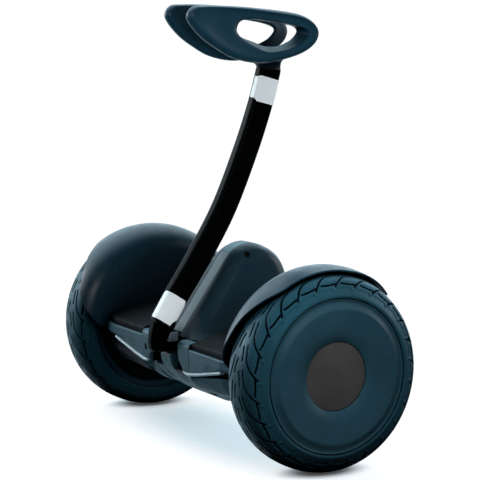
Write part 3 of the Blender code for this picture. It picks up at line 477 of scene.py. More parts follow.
def smooth_along(table: Outline, value: float) -> float:
    """Reads a table with a smooth curve through its rows that doesn't overshoot.

    Args:
        table: Pairs of a key and its value, with rising keys.
        value: The key to read at.

    Returns:
        The value there, held level past both ends.
    """
    keys = [k for k, _ in table]
    values = [v for _, v in table]
    if value <= keys[0]:
        return values[0]
    if value >= keys[-1]:
        return values[-1]
    i = max(k for k in range(len(keys) - 1) if keys[k] <= value)
    steps = [(values[k + 1] - values[k]) / (keys[k + 1] - keys[k]) for k in range(len(keys) - 1)]

    def slope(k: int) -> float:
        """Finds the curve's slope at a row.

        Args:
            k: The row's number.

        Returns:
            The slope, which is none where the rows turn back.
        """
        if k == 0 or k == len(keys) - 1:
            return steps[min(k, len(steps) - 1)]
        before, after = steps[k - 1], steps[k]
        return 0.0 if before * after <= 0 else 2 * before * after / (before + after)

    width = keys[i + 1] - keys[i]
    t = (value - keys[i]) / width
    return (
        (2 * t ** 3 - 3 * t ** 2 + 1) * values[i]
        + (t ** 3 - 2 * t ** 2 + t) * width * slope(i)
        + (3 * t ** 2 - 2 * t ** 3) * values[i + 1]
        + (t ** 3 - t ** 2) * width * slope(i + 1)
    )


def spline(points: Outline, steps: int, closed: bool = False) -> list[Vector]:
    """Draws a smooth curve through points.

    Args:
        points: What the curve goes through, in two or three dimensions.
        steps: How many points it gives for each stretch.
        closed: Whether the last point joins the first.

    Returns:
        The curve's points.
    """
    count = len(points)
    out = []
    for i in range(count if closed else count - 1):
        if closed:
            a, b, c, d = (Vector(points[(i + k) % count]) for k in (-1, 0, 1, 2))
        else:
            a, b, c, d = (Vector(points[min(max(i + k, 0), count - 1)]) for k in (-1, 0, 1, 2))
        for step in range(steps):
            t = step / steps
            bend = (2 * a - 5 * b + 4 * c - d) * t * t + (3 * b - a - 3 * c + d) * t ** 3
            out.append(0.5 * (2 * b + (c - a) * t + bend))
    if not closed:
        out.append(Vector(points[-1]))
    return out


def superellipse(half_a: float, half_b: float, power: float, count: int) -> list[tuple[float, float]]:
    """Draws a rounded oblong.

    Args:
        half_a: Half its width.
        half_b: Half its height.
        power: 2 for an ellipse, and more for squarer corners.
        count: How many points it has.

    Returns:
        The points round it.
    """
    out = []
    for i in range(count):
        angle = math.tau * (i + 0.5) / count
        c, s = math.cos(angle), math.sin(angle)
        a = half_a * math.copysign(abs(c) ** (2 / power), c)
        b = half_b * math.copysign(abs(s) ** (2 / power), s)
        out.append((a, b))
    return out


def offset(points: Outline, distance: float) -> list[tuple[float, float]]:
    """Moves an open outline sideways, to the left of its direction.

    Args:
        points: The outline.
        distance: How far it moves.

    Returns:
        The moved points.
    """
    moved = []
    for i, point in enumerate(points):
        before, after = points[max(i - 1, 0)], points[min(i + 1, len(points) - 1)]
        direction = Vector((after[0] - before[0], after[1] - before[1])).normalized()
        moved.append((point[0] - direction.y * distance, point[1] + direction.x * distance))
    return moved


def soften(made: bpy.types.Object, width: float, angle: float = 40.0, harden: bool = False) -> None:
    """Rounds an object's sharp edges with a bevel.

    Args:
        made: The object.
        width: Width of the bevel in millimetres.
        angle: The angle above which an edge is sharp, in degrees.
        harden: Whether the faces beside the bevel keep their own shading.
    """
    step = made.modifiers.new("edges", "BEVEL")
    step.width = width * MM
    step.segments = 2
    step.limit_method = "ANGLE"
    step.angle_limit = math.radians(angle)
    step.harden_normals = harden


@dataclass
class Piece:
    """A form under construction, in millimetres.

    Attributes:
        name: The name that its object gets.
        merge: How near two points are that count as one.
        bm: The form so far.
    """

    name: str
    merge: float = 0.0005
    bm: bmesh.types.BMesh = field(default_factory=bmesh.new)

    def sheet(self, rows: Sequence[Outline]) -> "Piece":
        """Lays a grid over rows of points.

        Args:
            rows: The rows, all with the same number of points.

        Returns:
            This piece.
        """
        across, down = len(rows[0]) - 1, len(rows) - 1
        grid = bmesh.ops.create_grid(self.bm, x_segments=across, y_segments=down, size=1.0)
        # The grid's vertices come row by row, as the points do.
        for vert, point in zip(grid["verts"], (point for row in rows for point in row)):
            vert.co = point
        return self

    def loft(self, rings: Sequence[Outline], loop: bool = False) -> "Piece":
        """Skins closed rings of points, and closes both ends.

        Args:
            rings: The rings, all with the same number of points.
            loop: Whether the last ring joins the first, so that there are no ends.

        Returns:
            This piece.
        """
        rows = [[*ring, ring[0]] for ring in rings]
        self.sheet(rows + rows[:1] if loop else rows)
        bmesh.ops.remove_doubles(self.bm, verts=self.bm.verts, dist=self.merge)
        if not loop:
            ends = [edge for edge in self.bm.edges if edge.is_boundary]
            bmesh.ops.holes_fill(self.bm, edges=ends, sides=0)
        return self

    def turned(self, profile: Outline, sides: int, side: Side = Side.LEFT) -> "Piece":
        """Turns a closed profile about the wheel axis.

        Args:
            profile: Its points as (x, radius).
            sides: How many steps the turn has.
            side: The side of the machine that it is on.

        Returns:
            This piece.
        """
        verts = [self.bm.verts.new((side.value * x, radius, AXLE_Z)) for x, radius in profile]
        edges = [self.bm.edges.new(pair) for pair in zip(verts, verts[1:] + verts[:1])]
        bmesh.ops.spin(
            self.bm, geom=verts + edges, cent=(0.0, 0.0, AXLE_Z), axis=(1.0, 0.0, 0.0), angle=math.tau,
            steps=sides, use_merge=True,
        )
        return self

    def mesh(self) -> bpy.types.Mesh:
        """Ends the form.

        Returns:
            The form as a mesh in metres, whose faces point outwards.
        """
        bmesh.ops.remove_doubles(self.bm, verts=self.bm.verts, dist=self.merge)
        bmesh.ops.recalc_face_normals(self.bm, faces=self.bm.faces)
        bmesh.ops.scale(self.bm, vec=(MM, MM, MM), verts=self.bm.verts)
        made = bpy.data.meshes.new(self.name)
        self.bm.to_mesh(made)
        self.bm.free()
        return made

    def finish(
        self, look: Look, body: str, replaces: Sequence[str] = (), bevel: float = 0.0, levels: int = 0,
        angle: float = 50.0,
    ) -> bpy.types.Object:
        """Makes the object, with its material, modifiers and body.

        Args:
            look: Its finish.
            body: The body that it moves with.
            replaces: The frame's nodes that it stands for.
            bevel: Width of a bevel on its sharp edges, in millimetres.
            levels: Levels of subdivision.
            angle: The angle above which an edge is sharp, in degrees.

        Returns:
            The new object.
        """
        mesh = self.mesh()
        mesh.materials.append(PAINTS[look])
        mesh.shade_smooth()
        mesh.set_sharp_from_angle(angle=math.radians(angle))
        made = bpy.data.objects.new(self.name, mesh)
        bpy.context.scene.collection.objects.link(made)
        if bevel:
            soften(made, bevel, angle, harden=True)
        if levels:
            step = made.modifiers.new("smooth", "SUBSURF")
            step.levels = step.render_levels = levels
        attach(made, body)
        if replaces:
            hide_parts(*replaces)
        return made


def carve(target: bpy.types.Object, tool: Piece) -> None:
    """Cuts a piece's form out of an object.

    Args:
        target: The object that is cut.
        tool: The form to take away.
    """
    mesh = tool.mesh()
    cutter = bpy.data.objects.new(tool.name, mesh)
    bpy.context.scene.collection.objects.link(cutter)
    kept = [(modifier, modifier.show_viewport) for modifier in target.modifiers]
    for modifier, _ in kept:
        modifier.show_viewport = False
    step = target.modifiers.new("carve", "BOOLEAN")
    step.operation, step.solver, step.object = "DIFFERENCE", "EXACT", cutter
    bpy.context.view_layer.update()
    shown_now = target.evaluated_get(bpy.context.evaluated_depsgraph_get())
    shaped = bpy.data.meshes.new_from_object(shown_now)
    target.modifiers.remove(step)
    for modifier, shown in kept:
        modifier.show_viewport = shown
    old, target.data = target.data, shaped
    bpy.data.meshes.remove(old)
    bpy.data.objects.remove(cutter)
    bpy.data.meshes.remove(mesh)


@dataclass(frozen=True)
class Tread:
    """The tyre's tread: hooked grooves, short ribs and raised dots, staggered from side to side.

    Attributes:
        pitches: How many times the pattern repeats round the tyre.
        depth: Depth of a groove in millimetres.
        width: Width of a groove in millimetres.
        shoulder: Where a groove's wall reaches the surface, in half widths from its middle line.
        radius: The radius at which degrees round the tyre are turned into millimetres.
        hook: The long groove, as (distance from the crown's middle, degrees round).
        rib: The short groove beside it.
        nick: The small groove on the crown's middle.
        dot: The place of a raised dot.
        dot_radius: The dot's radius in millimetres.
        dot_rise: The dot's height in millimetres.
    """

    pitches: int = 25
    depth: float = 2.4
    width: float = 1.7
    shoulder: float = 1.4
    radius: float = 125.0
    hook: Outline = ((10.5, 0.0), (13.0, 5.4), (16.0, 9.6), (22.5, 14.0), (29.5, 17.4), (34.0, 19.3))
    rib: Outline = ((30.4, 4.6), (30.9, 8.0), (30.6, 11.4), (29.4, 14.6))
    nick: Outline = ((3.0, 1.0), (5.5, 5.0), (6.5, 9.0))
    dot: tuple[float, float] = (37.5, 6.6)
    dot_radius: float = 2.2
    dot_rise: float = 1.4

    def relief(self, across: np.ndarray, angle: np.ndarray) -> np.ndarray:
        """How deep the tread is cut.

        Args:
            across: Distance along the tyre's section from the middle of the crown, signed.
            angle: Angle round the axle in degrees.

        Returns:
            The depth at each point in millimetres.
        """
        pitch = 360.0 / self.pitches
        per_degree = math.radians(1.0) * self.radius
        cut = np.zeros_like(across)
        local = angle + np.where(np.sign(across) < 0, pitch / 2, 0.0)
        out = np.abs(across)
        for path in (spline(self.hook, 6), spline(self.rib, 6), spline(self.nick, 5)):
            best = np.full_like(across, 99.0)
            for shift in (-2, -1, 0, 1):
                turn = (np.mod(local, pitch) - shift * pitch) * per_degree
                for a, b in zip(path, path[1:]):
                    ax, ay, bx, by = a.x, a.y * per_degree, b.x, b.y * per_degree
                    dx, dy = bx - ax, by - ay
                    t = np.clip(((out - ax) * dx + (turn - ay) * dy) / (dx * dx + dy * dy), 0, 1)
                    best = np.minimum(best, np.hypot(out - ax - t * dx, turn - ay - t * dy))
            cut = np.maximum(cut, np.clip(self.shoulder - best / (self.width * 0.5), 0, 1))
        spot = np.full_like(across, 99.0)
        for shift in (-1, 0, 1):
            turn = (np.mod(local, pitch) - self.dot[1] - shift * pitch) * per_degree
            spot = np.minimum(spot, np.hypot(out - self.dot[0], turn))
        dots = np.sqrt(np.clip(1.0 - (spot / self.dot_radius) ** 2, 0, 1))
        return cut * self.depth - dots * self.dot_rise


@dataclass(frozen=True)
class Wheel:
    """One wheel: a treaded tyre, a dished rim cover and a glossy cap.

    Attributes:
        side: The side of the machine that it is on.
        tread: The tyre's tread.
        shoulder: Radius at which the crown springs from the sidewalls.
        rise: How far the crown stands above it.
        half: Half the crown's width.
        powers: Roundness of the crown across and up.
        swell: How far the outboard sidewall swells out beside the rim cover.
        swell_span: The radii between which that swell dies away.
        foot: The inboard sidewall's foot, as (distance from the wheel's middle plane, radius).
        bead: The last points of the outboard foot, where it meets the rim cover.
        core: The tyre's inner side, from one foot to the other.
        rings: The rings moulded into the sidewalls, as (radius, width, height).
        fine: How far from the crown's middle the mesh is fine enough for the tread.
        turns: How many steps the tyre's mesh has round the axle.
        cover: The rim cover's profile, as (x, radius).
        cap: The cap's profile, as (x, radius).
    """

    side: Side
    tread: Tread = Tread()
    shoulder: float = 108.0
    rise: float = 21.9
    half: float = 32.4
    powers: tuple[float, float] = (0.8, 0.62)
    swell: float = 6.0
    swell_span: tuple[float, float] = (104.0, 119.0)
    foot: Outline = ((24.2, 84.0), (24.4, 88.0), (25.0, 92.0), (26.0, 97.0), (26.8, 100.0),
                     (28.2, 101.4), (31.3, 102.2))
    bead: Outline = ((29.6, 100.8), (35.4, 100.9), (37.2, 101.8), (37.7, 103.6), (37.2, 105.8))
    core: Outline = ((-18.5, 84.0), (-22.5, 104.0), (-13.0, 120.0), (13.0, 120.0), (22.5, 104.0),
                     (18.5, 84.0))
    rings: Outline = ((105.6, 0.7, 0.4), (108.4, 0.6, 0.35), (113.5, 0.8, -0.5), (115.6, 0.6, 0.3))
    fine: float = 46.0
    turns: int = 820
    cover: Outline = ((273.2, 45.7), (276.0, 60.0), (278.4, 76.0), (279.7, 86.0), (279.9, 87.6),
                      (279.6, 88.8), (278.9, 89.9), (276.4, 93.4), (275.1, 96.2), (275.0, 97.6),
                      (275.9, 98.9), (276.4, 99.7), (276.0, 100.3), (270.3, 100.4), (270.2, 97.0),
                      (270.4, 60.0), (269.6, 50.0), (269.4, 48.4), (269.4, 45.3), (272.7, 45.3))
    cap: Outline = ((271.5, 0.05), (271.4, 43.9), (271.2, 44.6), (270.7, 45.0), (269.2, 45.0),
                    (269.2, 47.9), (268.0, 47.9), (268.0, 0.05))

    @property
    def body(self) -> str:
        """The body that the wheel turns with."""
        return f"wheel_{self.side.word}"

    def section(self) -> list[tuple[float, float]]:
        """Draws the tyre's outer section.

        Returns:
            Its points as (distance from the wheel's middle plane, radius), from the outboard foot
            over the crown to the inboard foot.
        """
        crown = []
        steps = 44
        across, up = self.powers
        low, high = self.swell_span
        for i in range(steps + 1):
            angle = math.pi * i / steps
            c, s = math.cos(angle), math.sin(angle)
            radius = self.shoulder + self.rise * max(s, 0.0) ** up
            near_cover = max(0.0, 1.0 - (radius - low) / (high - low)) if c > 0 else 0.0
            out = self.half * math.copysign(abs(c) ** across, c)
            crown.append((out + self.swell * near_cover ** 1.5, radius))
        inboard = [(-out, radius) for out, radius in reversed(self.foot)]
        return [*self.foot[:-2], *self.bead, *crown, *inboard]

    def surface(self) -> tuple[np.ndarray, np.ndarray]:
        """Works out the treaded surface.

        Returns:
            The distance from the wheel's middle plane and the radius, each with a row for every step
            round the axle and a column for every point of the section.
        """
        section = np.array(self.section())
        length = np.concatenate(([0.0], np.cumsum(np.hypot(*np.diff(section, axis=0).T))))
        half = length[-1] / 2
        even = half + np.concatenate((
            np.arange(-half, -self.fine, 2.0), np.arange(-self.fine, self.fine + 0.1, 1.0),
            np.arange(self.fine + 2.0, half, 2.0),
        ))
        x = np.interp(even, length, section[:, 0])
        r = np.interp(even, length, section[:, 1])
        tangent = np.gradient(np.stack([x, r], 1), axis=0)
        tangent /= np.hypot(*tangent.T)[:, None]
        normal = np.stack([tangent[:, 1], -tangent[:, 0]], 1)
        normal *= np.sign(np.sum(normal * np.stack([x, r - self.shoulder], 1), 1))[:, None]
        across, angle = np.meshgrid(half - even, np.arange(self.turns) * 360.0 / self.turns)
        ring = np.zeros_like(even)
        for radius, width, height in self.rings:
            ring += height * np.exp(-(((r - radius) / width) ** 2)) * (np.abs(x) > 20)
        shift = ring[None, :] - self.tread.relief(across * self.side.value, angle)
        return x[None, :] + normal[None, :, 0] * shift, r[None, :] + normal[None, :, 1] * shift

    def tyre(self) -> bpy.types.Object:
        """Builds the tyre, with its tread cut into the crown and rings moulded into the sidewalls.

        Returns:
            The tyre.
        """
        out, radii = self.surface()
        rings = []
        for i in range(self.turns):
            turn = math.tau * i / self.turns
            c, s = math.cos(turn), math.sin(turn)
            points = [*zip(out[i], radii[i]), *self.core]
            rings.append([(self.side.value * (WHEEL_X + u), v * c, AXLE_Z + v * s) for u, v in points])
        piece = Piece(f"tyre_tread_{self.side.word}").loft(rings, loop=True)
        return piece.finish(Look.TYRE_RUBBER, self.body, [f"tyre_{self.side.word}"], angle=60.0)

    def build(self) -> list[bpy.types.Object]:
        """Builds the wheel's pieces.

        Returns:
            The tyre, the rim cover and the cap.
        """
        word = self.side.word
        cover = Piece(f"rim_cover_face_{word}").turned(self.cover, 144, self.side)
        cap = Piece(f"centre_cap_face_{word}").turned(self.cap, 96, self.side)
        return [
            self.tyre(), cover.finish(Look.RIM_POLYPROPYLENE, self.body, [f"rim_cover_{word}"]),
            cap.finish(Look.CAP_ACRYLIC, self.body, [f"centre_cap_{word}"]),
        ]


@dataclass(frozen=True)
class Fender:
    """A fender: an arched shoulder over the tyre, with a wall on its inboard side.

    Attributes:
        side: The side of the machine that it is on.
        wall: The wall's distance from the machine's middle.
        foot: Radii of the wall's lower points.
        crown: Where the arch is highest.
        arch: Radius at which the arch springs from the wall.
        radius: Radius of the arch's top.
        power: Squareness of the arch.
        skin: Thickness.
        drop: How far the rim outside the crown falls over 25 mm.
        lip: How far out the rim reaches, by the angle round the axle.
        tip: How high the tail reaches, by the angle round the axle.
        ends: The angles of its front end, of the start of its tail and of its tail's end.
    """

    side: Side
    wall: float = 186.0
    foot: Sequence[float] = (33.0, 60.0, 96.0)
    crown: float = 232.0
    arch: float = 104.0
    radius: float = 139.0
    power: float = 2.2
    skin: float = 2.3
    drop: float = 3.2
    lip: Outline = ((42, 234), (60, 248), (82, 257), (120, 257), (134, 243), (146, 226), (157, 215.5),
                    (179, 200))
    tip: Outline = ((150, 139.0), (157.5, 137.6), (166.5, 130.0), (173, 120.0), (178.5, 107.0))
    ends: Sequence[float] = (42.0, 150.0, 178.5)

    def curve(self, inset: float, angle: float) -> list[tuple[float, float]]:
        """Draws one skin at an angle.

        Args:
            inset: How far it lies inside the outer skin.
            angle: The angle round the axle in degrees.

        Returns:
            Its points as (x, radius), from the wall's foot to the lip.
        """
        width = self.crown - self.wall - inset
        height = self.radius - self.arch - inset
        lip = smooth_along(self.lip, angle)
        share = max(0.0, (self.crown - lip) / width)
        rise = min(1.0, (smooth_along(self.tip, angle) - self.arch) / (self.radius - self.arch))
        last = min(math.acos(min(1.0, share ** (self.power / 2))), math.asin(rise ** (self.power / 2)))
        points = [(self.wall + inset, radius) for radius in self.foot]
        steps = 24
        for i in range(steps + 1):
            a = last * i / steps
            x = self.crown - width * math.cos(a) ** (2 / self.power)
            points.append((x, self.arch + height * math.sin(a) ** (2 / self.power)))
        end_x, end_radius = points[-1]
        run = max(0.5, lip - end_x) if share == 0.0 else 0.5
        for i in range(1, 7):
            x = run * i / 6
            points.append((end_x + x, end_radius - self.drop * (x / 25.0) ** 2))
        return points

    def build(self) -> list[bpy.types.Object]:
        """Builds the fender.

        Returns:
            The fender alone.
        """
        rings = []
        front, tail, end = self.ends
        angles = [mix(front, tail, i / 90) for i in range(90)]
        angles += [mix(tail, end, i / 40) for i in range(41)]
        for angle in angles:
            c, s = math.cos(math.radians(angle)), math.sin(math.radians(angle))
            outer, inner = self.curve(0.0, angle), self.curve(self.skin, angle)
            lip = (outer[-1][0] + 0.4, mix(outer[-1][1], inner[-1][1], 0.5))
            section = [*outer, lip, *inner[::-1]]
            rings.append([(self.side.value * x, r * c, AXLE_Z + r * s) for x, r in section])
        piece = Piece(f"fender_shell_{self.side.word}").loft(rings)
        return [piece.finish(Look.FENDER_ABS, "chassis", [f"fender_{self.side.word}"], bevel=0.5)]


@dataclass(frozen=True)
class Console:
    """The centre console: two sides, a narrow front panel over a dark toe, and a top cover.

    Attributes:
        front: Its front line, as (height, y).
        rear: Its rear line, as (height, y).
        half: Half its width, by height.
        corner: Radius of its upright corners.
        skin: Thickness.
        strip: Half the width of the front panel and the top cover.
        gap: Half the gap beside them.
        seam: Height of the seam between the front panel and the top cover.
        slant: The seam's normal.
        toe: Heights of the toe's top and of the front panel's foot.
        panel_back: How far behind the seam the front panel ends.
        cover_join: How far behind the seam the cover's rear starts and its top ends.
        screw: The side screw's (y, z).
        bore: Profile of its hole, as (x, radius).
        plug: Profile of its plug, as (x, radius).
    """

    front: Outline = ((148.2, -87.0), (156, -80.6), (180, -63.6), (209, -43.0), (235, -24.6),
                      (250, -14.2), (258, -7.4), (263, -0.6), (266, 6.6), (268, 14.0), (269, 20.0))
    rear: Outline = ((148.2, 89.0), (156, 88.4), (180, 85.6), (209, 79.8), (226, 76.0), (240, 70.6),
                     (250, 63.6), (258, 54.6), (263, 46.0), (266, 38.6), (268, 31.0), (269, 25.0))
    half: Outline = ((148.2, 63.0), (151, 57.5), (156, 52.0), (168, 45.5), (190, 40.0), (220, 36.0),
                     (245, 33.0), (255, 31.0), (262, 27.5), (266, 22.5), (268, 17.0), (269, 12.5))
    corner: float = 22.0
    skin: float = 2.2
    strip: float = 11.5
    gap: float = 0.3
    seam: float = 257.0
    slant: Point = (0.0, 0.55, 0.84)
    toe: tuple[float, float] = (152.2, 153.0)
    panel_back: float = 7.0
    cover_join: tuple[float, float] = (7.4, 7.5)
    screw: tuple[float, float] = (9.0, 256.4)
    bore: Outline = ((20.0, 0.05), (20.0, 4.3), (40.0, 4.3), (40.0, 0.05))
    plug: Outline = ((29.0, 0.05), (29.0, 1.2), (30.4, 1.3), (30.4, 3.5), (29.9, 3.9), (26.0, 3.9),
                     (26.0, 0.05))

    def ring(self, z: float, inset: float, drop: float = 0.0) -> list[Point]:
        """Draws the console's level outline.

        Args:
            z: Its height.
            inset: How far it lies inside the outer skin.
            drop: How far it is then let down.

        Returns:
            The outline's points.
        """
        front = smooth_along(self.front, z) + inset
        rear = smooth_along(self.rear, z) - inset
        half = smooth_along(self.half, z) - inset
        corner = min(self.corner - inset, half - 0.4, (rear - front) / 2 - 0.2)
        steps = 8
        out = []
        for sx, sy, first in ((1, 1, 0.0), (-1, 1, 90.0), (-1, -1, 180.0), (1, -1, 270.0)):
            cx = sx * (half - corner)
            cy = (rear - corner) if sy > 0 else (front + corner)
            for i in range(steps + 1):
                a = math.radians(first + 90.0 * i / steps)
                out.append((cx + corner * math.cos(a), cy + corner * math.sin(a), z - drop))
        return out

    def shell(self, name: str) -> Piece:
        """Makes the whole console's wall, from which each of its pieces is cut.

        Args:
            name: The name of the piece that it will be.

        Returns:
            The wall, open below.
        """
        foot, flare, bend, top = self.front[0][0], 160.0, 250.0, self.front[-1][0]
        heights = [mix(foot, flare, i / 8) for i in range(8)]
        heights += [mix(flare, bend, i / 22) for i in range(22)]
        heights += [mix(bend, top, math.sin(math.pi / 2 * i / 16)) for i in range(17)]
        low = [z for z in heights if z < top - 3.5]
        inner = [self.ring(z, self.skin, 2.0 * i / len(low)) for i, z in enumerate(low)]
        return Piece(name).loft(inner[::-1] + [self.ring(z, 0.0) for z in heights])

    def disc(self, name: str, profile: Outline, side: Side) -> Piece:
        """Turns a profile about the axis of the console's side screw.

        Args:
            name: The piece's name.
            profile: Its points as (x, radius).
            side: The side of the machine that it is on.

        Returns:
            The piece.
        """
        piece = Piece(name).turned(profile, 24, side)
        y, z = self.screw
        bmesh.ops.translate(piece.bm, vec=(0.0, y, z - AXLE_Z), verts=piece.bm.verts)
        return piece

    @staticmethod
    def cut(form: bmesh.types.BMesh, point: Sequence[float], normal: Sequence[float]) -> None:
        """Cuts a form at a plane, drops what lies beyond it and closes the cut.

        Args:
            form: The form.
            point: A point of the plane.
            normal: The direction in which the form is dropped.
        """
        whole = form.verts[:] + form.edges[:] + form.faces[:]
        made = bmesh.ops.bisect_plane(
            form, geom=whole, dist=0.0001, plane_co=point, plane_no=normal, clear_outer=True
        )
        edges = [e for e in made["geom_cut"] if isinstance(e, bmesh.types.BMEdge)]
        bmesh.ops.holes_fill(form, edges=edges, sides=0)

    def flank(self, side: Side) -> list[bpy.types.Object]:
        """Builds one side of the console, and the plug in its screw hole.

        Args:
            side: The side of the machine that it is on.

        Returns:
            The side and the plug.
        """
        piece = self.shell(f"console_shell_{side.word}")
        self.cut(piece.bm, (side.value * (self.strip + self.gap), 0.0, 0.0), (-side.value, 0.0, 0.0))
        shell = piece.finish(Look.SHELL_ABS, "chassis", [f"console_side_{side.word}"], bevel=0.5)
        carve(shell, self.disc(f"bore_{side.word}", self.bore, side))
        plug = self.disc(f"console_plug_{side.word}", self.plug, side)
        return [shell, plug.finish(Look.SOFT_RUBBER, "chassis")]

    def middle(self, name: str) -> Piece:
        """Makes the strip of the console's wall between its sides.

        Args:
            name: The name of the piece that it will be.

        Returns:
            The strip.
        """
        piece = self.shell(name)
        for side in Side:
            edge = side.value * (self.strip - self.gap)
            self.cut(piece.bm, (edge, 0.0, 0.0), (side.value, 0.0, 0.0))
        return piece

    def build(self) -> list[bpy.types.Object]:
        """Builds the console's pieces from one form, with the gaps between them.

        Returns:
            The sides with their plugs, the front panel, the toe and the top cover.
        """
        made = [*self.flank(Side.RIGHT), *self.flank(Side.LEFT)]
        y = smooth_along(self.front, self.seam)
        toe_top, panel_foot = self.toe
        for name, look, height, drop in (
            ("console_panel", Look.PANEL_ABS, panel_foot, -1.0),
            ("console_toe", Look.HULL_PAINT, toe_top, 1.0),
        ):
            piece = self.middle(name)
            self.cut(piece.bm, (0.0, y, self.seam), self.slant)
            self.cut(piece.bm, (0.0, y + self.panel_back, 0.0), (0.0, 1.0, 0.0))
            self.cut(piece.bm, (0.0, 0.0, height), (0.0, 0.0, drop))
            made.append(piece.finish(look, "chassis", ["console_front_panel"], bevel=0.6))
        return [*made, self.cover(y)]

    def cover(self, y: float) -> bpy.types.Object:
        """Builds the top cover from the rear and the top of the strip.

        Args:
            y: Where the seam with the front panel is.

        Returns:
            The cover.
        """
        piece = self.middle("console_cover")
        rear_start, top_end = self.cover_join
        rear = piece.bm.copy()
        self.cut(rear, (0.0, y + rear_start, 0.0), (0.0, -1.0, 0.0))
        rear_mesh = bpy.data.meshes.new("rear")
        rear.to_mesh(rear_mesh)
        rear.free()
        self.cut(piece.bm, (0.0, y, self.seam + 0.5), [-k for k in self.slant])
        self.cut(piece.bm, (0.0, y + top_end, 0.0), (0.0, 1.0, 0.0))
        piece.bm.from_mesh(rear_mesh)
        bpy.data.meshes.remove(rear_mesh)
        return piece.finish(Look.DECK_ALLOY, "chassis", ["console_top_cover"])


@dataclass(frozen=True)
class Label:
    """A blank label on the bar.

    Attributes:
        name: Its name.
        height: The height of its middle above the floor.
        width: Its width round the bar.
        length: Its length along the bar.
        corner: Radius of its corners.
        shift: How far its middle lies round the bar from the outer side.
        lift: How far it stands off the bar.
    """

    name: str
    height: float
    width: float
    length: float
    corner: float = 3.0
    shift: float = 6.0
    lift: float = 0.22


@dataclass(frozen=True)
class Bar:
    """The steering bar with its neck, and the two blank labels on it.

    Attributes:
        through: What its middle line goes through, as (y, z).
        half: Half its section's depth and width.
        square: Squareness of its section and of the neck's.
        labels: The labels on it.
        neck: The neck's sections, as (height, half depth, half width, y).
    """

    through: Outline = ((-106.0, 164.6), (-97.0, 184.0), (-56.0, 244.0), (-12.8, 315.0), (22.8, 396.0),
                        (46.5, 462.0), (58.5, 506.0))
    half: tuple[float, float] = (16.5, 13.0)
    square: tuple[float, float] = (3.2, 2.6)
    labels: Sequence[Label] = (
        Label("label_low", height=184.0, width=45.5, length=40.2),
        Label("label_high", height=475.6, width=49.0, length=35.4),
    )
    neck: Outline = ((506.3, 16.5, 13.0, 58.5), (509.0, 16.6, 13.0, 58.4), (512.0, 17.0, 13.4, 58.2),
                     (515.0, 19.0, 15.2, 56.4), (517.5, 23.0, 18.2, 53.4), (520.0, 30.5, 21.6, 48.2),
                     (523.0, 39.0, 24.8, 41.6), (526.0, 43.0, 26.2, 38.6), (530.0, 44.0, 26.4, 38.0),
                     (532.4, 43.4, 26.0, 38.0), (533.0, 42.0, 25.0, 38.0))

    def line(self) -> list[Vector]:
        """The bar's middle line, as (y, z)."""
        return spline(self.through, 14)

    @staticmethod
    def lean(line: Sequence[Vector], i: int) -> float:
        """The lean from the vertical at a point of the middle line, in radians."""
        before, after = line[max(i - 1, 0)], line[min(i + 1, len(line) - 1)]
        return math.atan2(after[0] - before[0], after[1] - before[1])

    def section(
        self, line: Sequence[Vector], i: int, grow: float = 0.0, count: int = 48
    ) -> list[Point]:
        """Draws the bar's outline round a point of its middle line.

        Args:
            line: The middle line.
            i: Which of its points.
            grow: How far the outline lies outside the bar.
            count: How many points it has.

        Returns:
            The outline, which is level at the bar's top end.
        """
        y, z = line[i]
        lean = 0.0 if i == len(line) - 1 else self.lean(line, i)
        depth, width = self.half
        ring = superellipse(depth + grow, width + grow, self.square[0], count)
        return [(b, y + a * math.cos(lean), z - a * math.sin(lean)) for a, b in ring]

    def wrap(self, label: Label) -> bpy.types.Object:
        """Builds a label, wrapped round the bar's outer side.

        Args:
            label: What it is like.

        Returns:
            The label.
        """
        line = self.line()
        middle = min(range(len(line)), key=lambda i: abs(line[i][1] - label.height))
        lean = self.lean(line, middle)
        ring = [Vector(p) for p in self.section(line, middle, label.lift, 240)]
        y = line[middle][0]
        start = max(range(len(ring)), key=lambda i: ring[i].x - abs(ring[i].y - y) * 0.01)
        rows = []
        down, across = 32, 40
        for j in range(down + 1):
            rise = mix(-label.length / 2, label.length / 2, j / down)
            over = max(0.0, abs(rise) - (label.length / 2 - label.corner))
            half = label.width / 2 - label.corner + math.sqrt(max(0.0, label.corner ** 2 - over ** 2))
            reaches = [mix(-half, half, i / across) + label.shift for i in range(across + 1)]
            rows.append([self.on_ring(ring, start, reach, rise, lean) for reach in reaches])
        return Piece(label.name).sheet(rows).finish(Look.LABEL_FILM, "bar", angle=60.0)

    @staticmethod
    def on_ring(ring: Sequence[Vector], start: int, reach: float, rise: float, lean: float) -> Point:
        """Finds a point on the bar's side.

        Args:
            ring: A section of the bar.
            start: The section's point to start from.
            reach: How far to go round the section.
            rise: How far to go up along the bar.
            lean: The bar's lean in radians.

        Returns:
            The point.
        """
        step = 1 if reach >= 0 else -1
        left, i = abs(reach), start
        while True:
            a, b = ring[i % len(ring)], ring[(i + step) % len(ring)]
            length = (b - a).length
            if left <= length:
                point = a.lerp(b, left / length)
                break
            left -= length
            i += step
        return (point.x, point.y + rise * math.sin(lean), point.z + rise * math.cos(lean))

    def build(self) -> list[bpy.types.Object]:
        """Builds the bar, its labels and its neck.

        Returns:
            The bar, the two labels and the neck.
        """
        line = self.line()
        piece = Piece("bar_tube").loft([self.section(line, i) for i in range(len(line))])
        made = [piece.finish(Look.BAR_POWDER_COAT, "bar", ["steering_bar"])]
        made += [self.wrap(label) for label in self.labels]
        rings = []
        for z, depth, width, y in self.neck:
            ring = superellipse(depth, width, self.square[1], 48)
            rings.append([(b, y + a, z) for a, b in ring])
        piece = Piece("neck_saddle").loft(rings)
        return [*made, piece.finish(Look.NECK_ABS, "bar", ["bar_neck"])]


